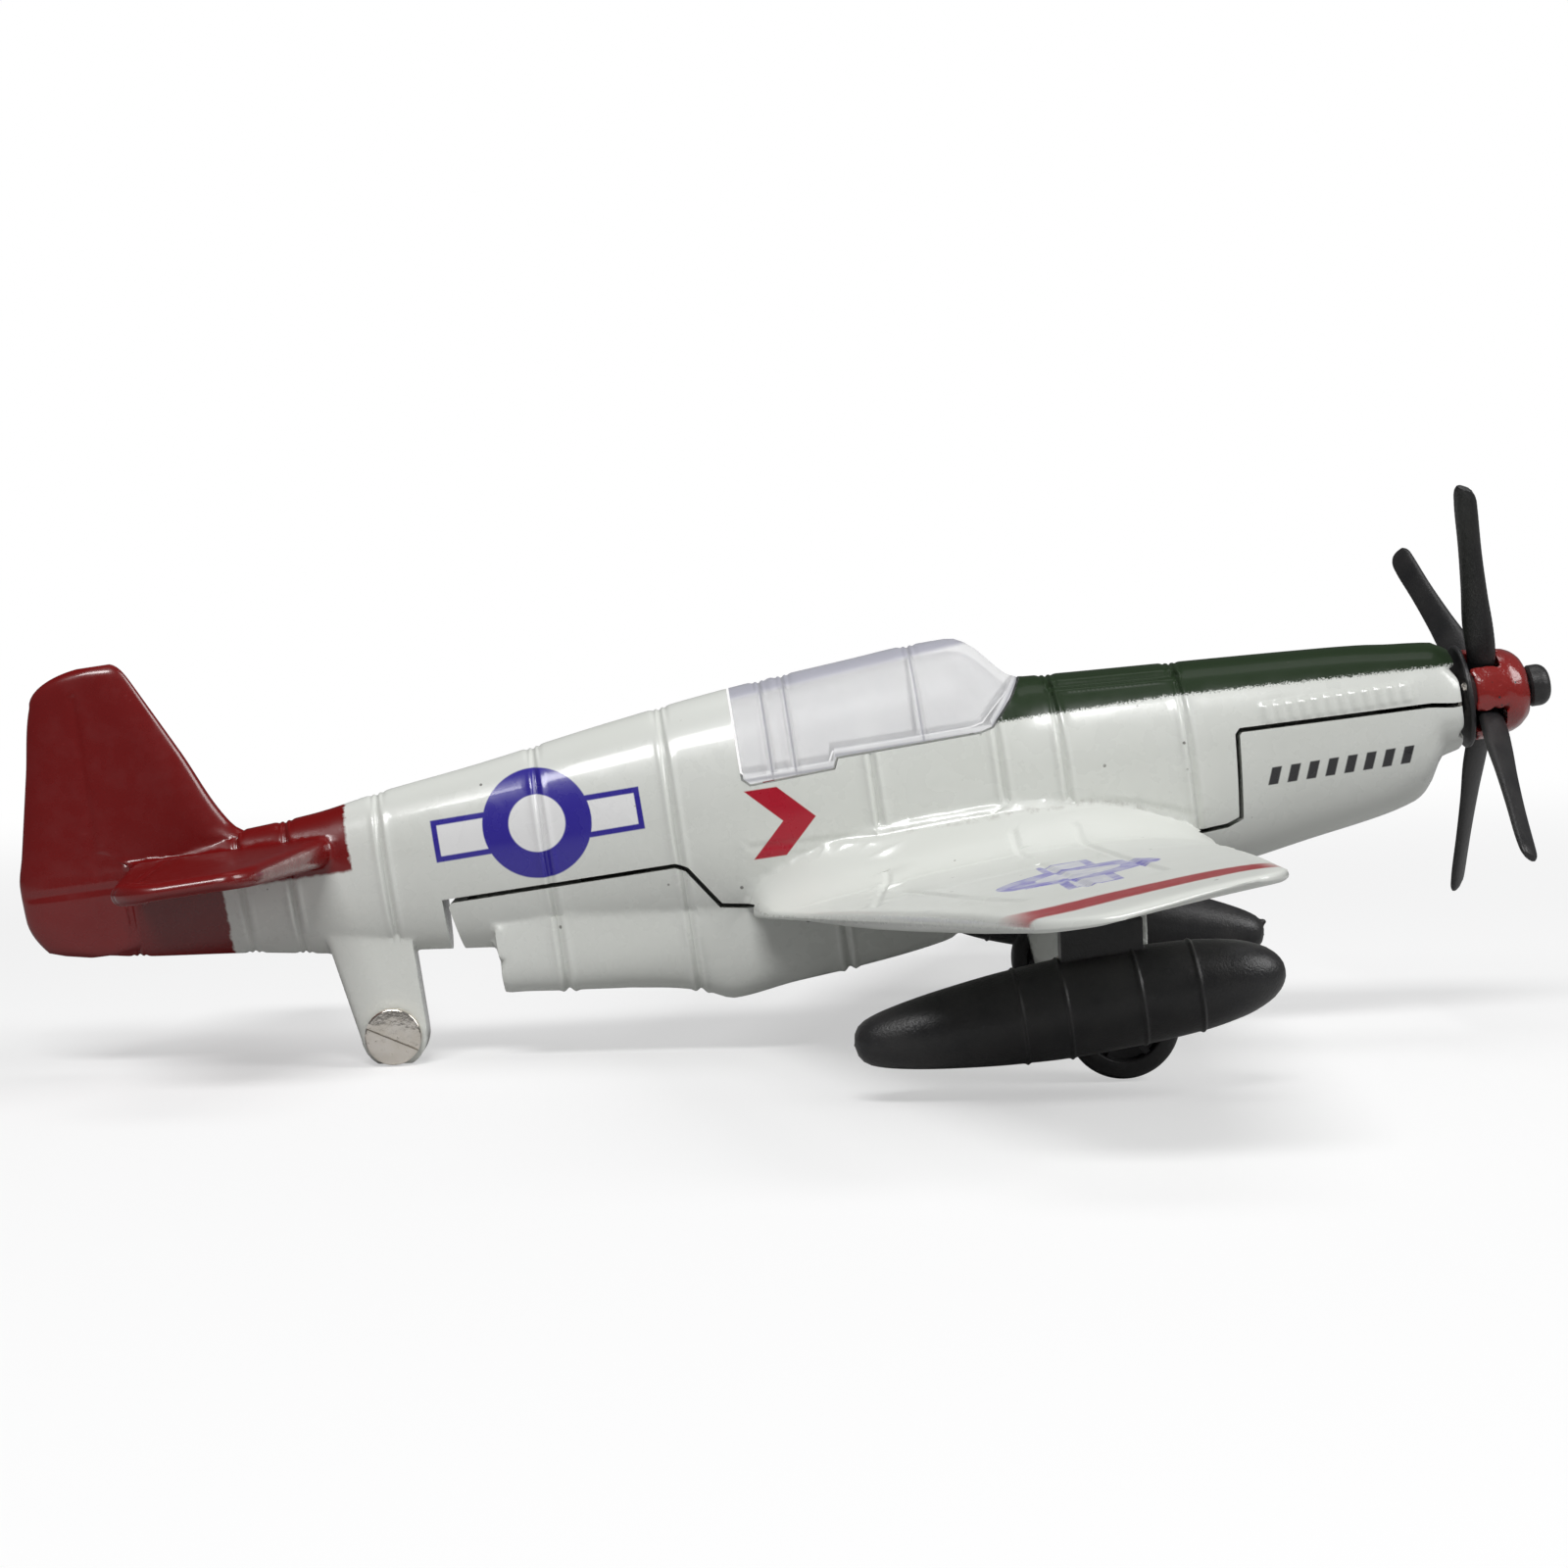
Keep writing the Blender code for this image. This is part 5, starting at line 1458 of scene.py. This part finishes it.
def wing_markings(paint, color):
    """The rubbed roundel and bars, and the brushed stripe beside each tip."""
    u, side = paint.u, paint.y.abs()
    top = paint.w.rise(-7.6, -7.4) * side.rise(9.0, 9.5)
    a, b = turned_pair(side, u, WING_ROUNDEL["centre"], 0.0)
    blue, white = bars_and_disc(a, b, WING_ROUNDEL["radius"], WING_ROUNDEL["bar"], 0.5)
    rubbed = paint.noise(0.7, 3.0, 0.6).rise(0.40, 0.60) * 0.45 + 0.45
    above = facing_up(paint).rise(0.05, 0.25)
    color = paint.mix(color, RUBBED_BLUE, blue * top * rubbed * above)
    color = paint.mix(color, WHITE, white * top * rubbed * above)

    wobble = (paint.noise(0.2, 1.0) - 0.5) * 0.9
    stripe_at = (u + 27.0) * 0.02 + wobble + TIP_STRIPE["y"]
    ends = u.rise(-35.6, -33.2) * (-u).rise(20.6, 22.2)
    feather = (paint.noise(1.2, 2.0) - 0.5) * 0.3
    stripe = within(side - stripe_at + feather, -TIP_STRIPE["half"], TIP_STRIPE["half"], 0.4)
    return paint.mix(color, STRIPE_RED, stripe * ends * above)


def red_plastic_paint():
    paint = Paint("red_paint_look", Roughness=0.25, Coat_Weight=0.6, Coat_Roughness=0.1)
    lumps = paint.noise(0.9, 3.0, 0.6)
    thin = paint.noise(2.4, 4.0, 0.7).rise(0.60, 0.70)
    color = paint.mix((0.24, 0.016, 0.014), (0.34, 0.05, 0.045), thin * 0.5)
    chips = (-paint.cells(1.3)).rise(-0.12, -0.09) * paint.noise(0.8).rise(0.5, 0.55)
    color = paint.mix(color, INK, chips)
    paint.bump(lumps * 0.8 + paint.noise(6.0, 2.0) * 0.2, 0.09)
    return paint.set(Base_Color=color, Roughness=thin * 0.15 + 0.2)


def black_plastic():
    paint = Paint("black_plastic_look", Roughness=0.42, IOR=1.5)
    tone = paint.noise(0.5, 3.0).rise(0.3, 0.7)
    color = paint.mix((0.014, 0.014, 0.015), (0.024, 0.023, 0.023), tone)
    scuff = paint.noise(3.5, 4.0, 0.7).rise(0.62, 0.72)
    color = paint.mix(color, (0.055, 0.055, 0.058), scuff * 0.35)
    paint.bump(paint.noise(6.0, 3.0, 0.6), 0.03)
    return paint.set(Base_Color=color, Roughness=scuff * 0.12 + tone * 0.08 + 0.34)


def plated_steel():
    paint = Paint("plated_steel_look", Metallic=1.0, Roughness=0.22)
    tone = paint.noise(0.9, 3.0).rise(0.3, 0.7)
    color = paint.mix((0.86, 0.80, 0.71), (0.94, 0.89, 0.82), tone)
    stains = paint.noise(3.0, 4.0, 0.6).rise(0.6, 0.75)
    color = paint.mix(color, (0.38, 0.31, 0.24), stains * 0.4)
    paint.bump(paint.noise(2.0, 3.0), 0.03)
    return paint.set(Base_Color=color, Roughness=stains * 0.25 + 0.18)


def clear_plastic():
    """Thin clear moulding: most of the light passes through it, and less along its frames and rim."""
    paint = Paint("clear_plastic_look", Roughness=0.3, IOR=1.3, Transmission_Weight=0.15)
    u, w = paint.u, paint.w
    haze = paint.noise(0.3, 1.0).rise(0.3, 0.8)
    color = paint.mix((0.92, 0.92, 0.94), (0.97, 0.97, 0.98), haze)
    windscreen_foot = ((u + 30.7) * 1.19 + 2.9) * u.rise(-30.8, -30.7)
    sill = (2.6 - 0.75 * (-u).rise(40.8, 41.0)) | windscreen_foot
    solid = (-(w - sill)).rise(-0.5, -0.35)
    lines = (w - sill).abs().rise(0.0, 0.2) * -1.0 + 1.0
    for frame_u in CANOPY_FRAMES:
        solid = solid | within(u, frame_u - 0.16, frame_u + 0.16, 0.1)
        lines = lines | within(u, frame_u - 0.07, frame_u + 0.07, 0.06)
    roof = (w - (u + 47.0) * 0.085).rise(6.75, 7.15) * (-u).rise(30.4, 30.9)
    color = paint.mix(color, (0.40, 0.40, 0.50), roof * 0.85)
    color = paint.mix(color, (0.45, 0.45, 0.50), lines * 0.8)
    paint.bump(paint.noise(0.25, 1.0), 0.01)
    return paint.set(Base_Color=color, Alpha=haze * 0.03 + 0.27 + (solid * 0.36 | roof * 0.42))


# Stage, lights and camera

AMBIENT = 0.12
CAMERA_AT = Vector((-0.004742, -0.22, 0.02972))
# Yaw, downward pitch and roll, in degrees
CAMERA_TURN = (1.19, 3.26, 1.65)
CAMERA_LENS = 78.21
FLOOR_RADIUS = 3.0
# The floor changes between these distances from the middle, in metres
FLOOR_FADE = (0.08, 0.3)


def floor_material():
    """White paper: seen as plain white far off, and taking the model's shadow near it."""
    material = bpy.data.materials.new("floor_white")
    material.use_nodes = True
    graph = material.node_tree
    graph.nodes.remove(graph.nodes["Principled BSDF"])
    lit, shaded = (graph.nodes.new("ShaderNodeBsdfDiffuse") for _ in range(2))
    shaded.inputs["Color"].default_value = (0.93, 0.93, 0.93, 1.0)
    plain = graph.nodes.new("ShaderNodeEmission")
    place = graph.nodes.new("ShaderNodeTexCoord")
    radius = graph.nodes.new("ShaderNodeVectorMath")
    radius.operation = "LENGTH"
    graph.links.new(place.outputs["Object"], radius.inputs[0])
    seen = graph.nodes.new("ShaderNodeMixShader")
    for (near, far), socket in (((0.5, 1.0), seen.inputs["Fac"]), ((0.5, 0.03), lit.inputs["Color"])):
        fade = graph.nodes.new("ShaderNodeMapRange")
        fade.interpolation_type = "SMOOTHSTEP"
        for limit, value in zip(("From Min", "From Max", "To Min", "To Max"), (*FLOOR_FADE, near, far)):
            fade.inputs[limit].default_value = value
        graph.links.new(radius.outputs["Value"], fade.inputs["Value"])
        graph.links.new(fade.outputs["Result"], socket)
    graph.links.new(shaded.outputs[0], seen.inputs[1])
    graph.links.new(plain.outputs[0], seen.inputs[2])
    by_eye(graph, lit.outputs[0], seen.outputs[0], graph.nodes["Material Output"].inputs["Surface"])
    return material


def add_stage():
    floor = bpy.data.objects.new("floor", bpy.data.meshes.new("floor"))
    steps = 96
    angles = [2 * math.pi * i / steps for i in range(steps)]
    ring = [(FLOOR_RADIUS * math.cos(a), FLOOR_RADIUS * math.sin(a), 0.0) for a in angles]
    floor.data.from_pydata(ring, [], [tuple(range(steps))])
    floor.data.materials.append(floor_material())
    bpy.context.scene.collection.objects.link(floor)
    floor.location.z = -0.0001

    world = bpy.data.worlds.new("studio")
    world.use_nodes = True
    graph = world.node_tree
    seen = graph.nodes["Background"]
    seen.inputs["Color"].default_value = (1.0, 1.0, 1.0, 1.0)
    seen.inputs["Strength"].default_value = 1.0
    lit = graph.nodes.new("ShaderNodeBackground")
    lit.inputs["Color"].default_value = (0.97, 0.98, 1.0, 1.0)
    lit.inputs["Strength"].default_value = AMBIENT
    by_eye(graph, lit.outputs[0], seen.outputs[0], graph.nodes["World Output"].inputs["Surface"])
    bpy.context.scene.world = world


def by_eye(graph, lit, seen, output):
    """A backdrop that the lens sees brighter than it shines on the object."""
    ray = graph.nodes.new("ShaderNodeLightPath")
    mix = graph.nodes.new("ShaderNodeMixShader")
    graph.links.new(ray.outputs["Is Camera Ray"], mix.inputs["Fac"])
    graph.links.new(lit, mix.inputs[1])
    graph.links.new(seen, mix.inputs[2])
    graph.links.new(mix.outputs[0], output)


def add_softbox(name, at, size, power, target=(0.0, 0.0, 0.01)):
    light = bpy.data.lights.new(name, "AREA")
    light.shape = "RECTANGLE"
    light.size, light.size_y = size
    light.energy = power
    placed = bpy.data.objects.new(name, light)
    placed.location = at
    placed.rotation_euler = (Vector(target) - Vector(at)).to_track_quat("-Z", "Y").to_euler()
    bpy.context.scene.collection.objects.link(placed)


def add_camera():
    """Almost level, and square to the starboard side."""
    yaw, pitch, roll = (math.radians(angle) for angle in CAMERA_TURN)
    forward = Vector((math.sin(yaw) * math.cos(pitch), math.cos(yaw) * math.cos(pitch), -math.sin(pitch)))
    level = Vector((math.cos(yaw), -math.sin(yaw), 0.0))
    above = level.cross(forward)
    right = level * math.cos(roll) - above * math.sin(roll)
    up = level * math.sin(roll) + above * math.cos(roll)
    camera = bpy.data.cameras.new("camera")
    camera.sensor_width = 36.0
    camera.lens = CAMERA_LENS
    camera.clip_start, camera.clip_end = 0.01, 20.0
    placed = bpy.data.objects.new("camera", camera)
    bpy.context.scene.collection.objects.link(placed)
    turned = Matrix((right, up, -forward)).transposed().to_4x4()
    placed.matrix_world = Matrix.Translation(CAMERA_AT) @ turned
    bpy.context.scene.camera = placed


def add_pieces():
    looks = {
        "white_paint": casting_paint(),
        "red_paint": red_plastic_paint(),
        "black_plastic": black_plastic(),
        "plated_steel": plated_steel(),
        "clear_plastic": clear_plastic(),
    }
    fixed = "airframe"
    piece("upper_casting_skin", upper_casting(), fixed, looks, "white_paint", ["upper_casting"], angle=55.0)
    piece("lower_casting_skin", lower_casting(), fixed, looks, "white_paint", ["lower_casting"])
    piece("canopy_glazing", canopy(), fixed, looks, "clear_plastic", ["canopy"], angle=50.0)
    piece("propeller_blades", propeller(), "propeller", looks, "black_plastic", ["propeller"])
    piece("spinner_shell", spinner(), "propeller", looks, "red_paint", ["spinner"])
    piece("propeller_pin_cap", pin(), fixed, looks, "black_plastic", ["propeller_pin"])
    piece("tail_screw_slotted", tail_screw(), fixed, looks, "plated_steel", ["tail_screw"])
    for side, sign in (("left", 1), ("right", -1)):
        for kind, mesh, body, slot, node in (
            ("gear_plate", gear_leg(sign), fixed, "white_paint", "gear_leg"),
            ("wheel_tyre", wheel(sign), f"{side}_wheel", "black_plastic", "wheel"),
            ("axle_rivet", axle_pin(sign), fixed, "plated_steel", "axle_pin"),
            ("tank_body", drop_tank(side), fixed, "black_plastic", "drop_tank"),
        ):
            piece(f"{side}_{kind}", mesh, body, looks, slot, [f"{side}_{node}"])
    for node in ("pin_lock_washer", "thrust_washer", "tail_nut", "front_belly_screw", "rear_belly_screw"):
        NODES[node].data.materials.clear()
        NODES[node].data.materials.append(looks["plated_steel"])


add_pieces()
add_stage()
add_camera()
add_softbox("key", (-0.12, -0.58, 0.66), (0.42, 0.2), 5.0)
add_softbox("front", (0.6, -0.2, 0.45), (0.3, 0.4), 2.4)
add_softbox("top", (0.05, 0.18, 0.80), (0.5, 0.3), 1.0)
bpy.context.scene.view_settings.view_transform = "Standard"
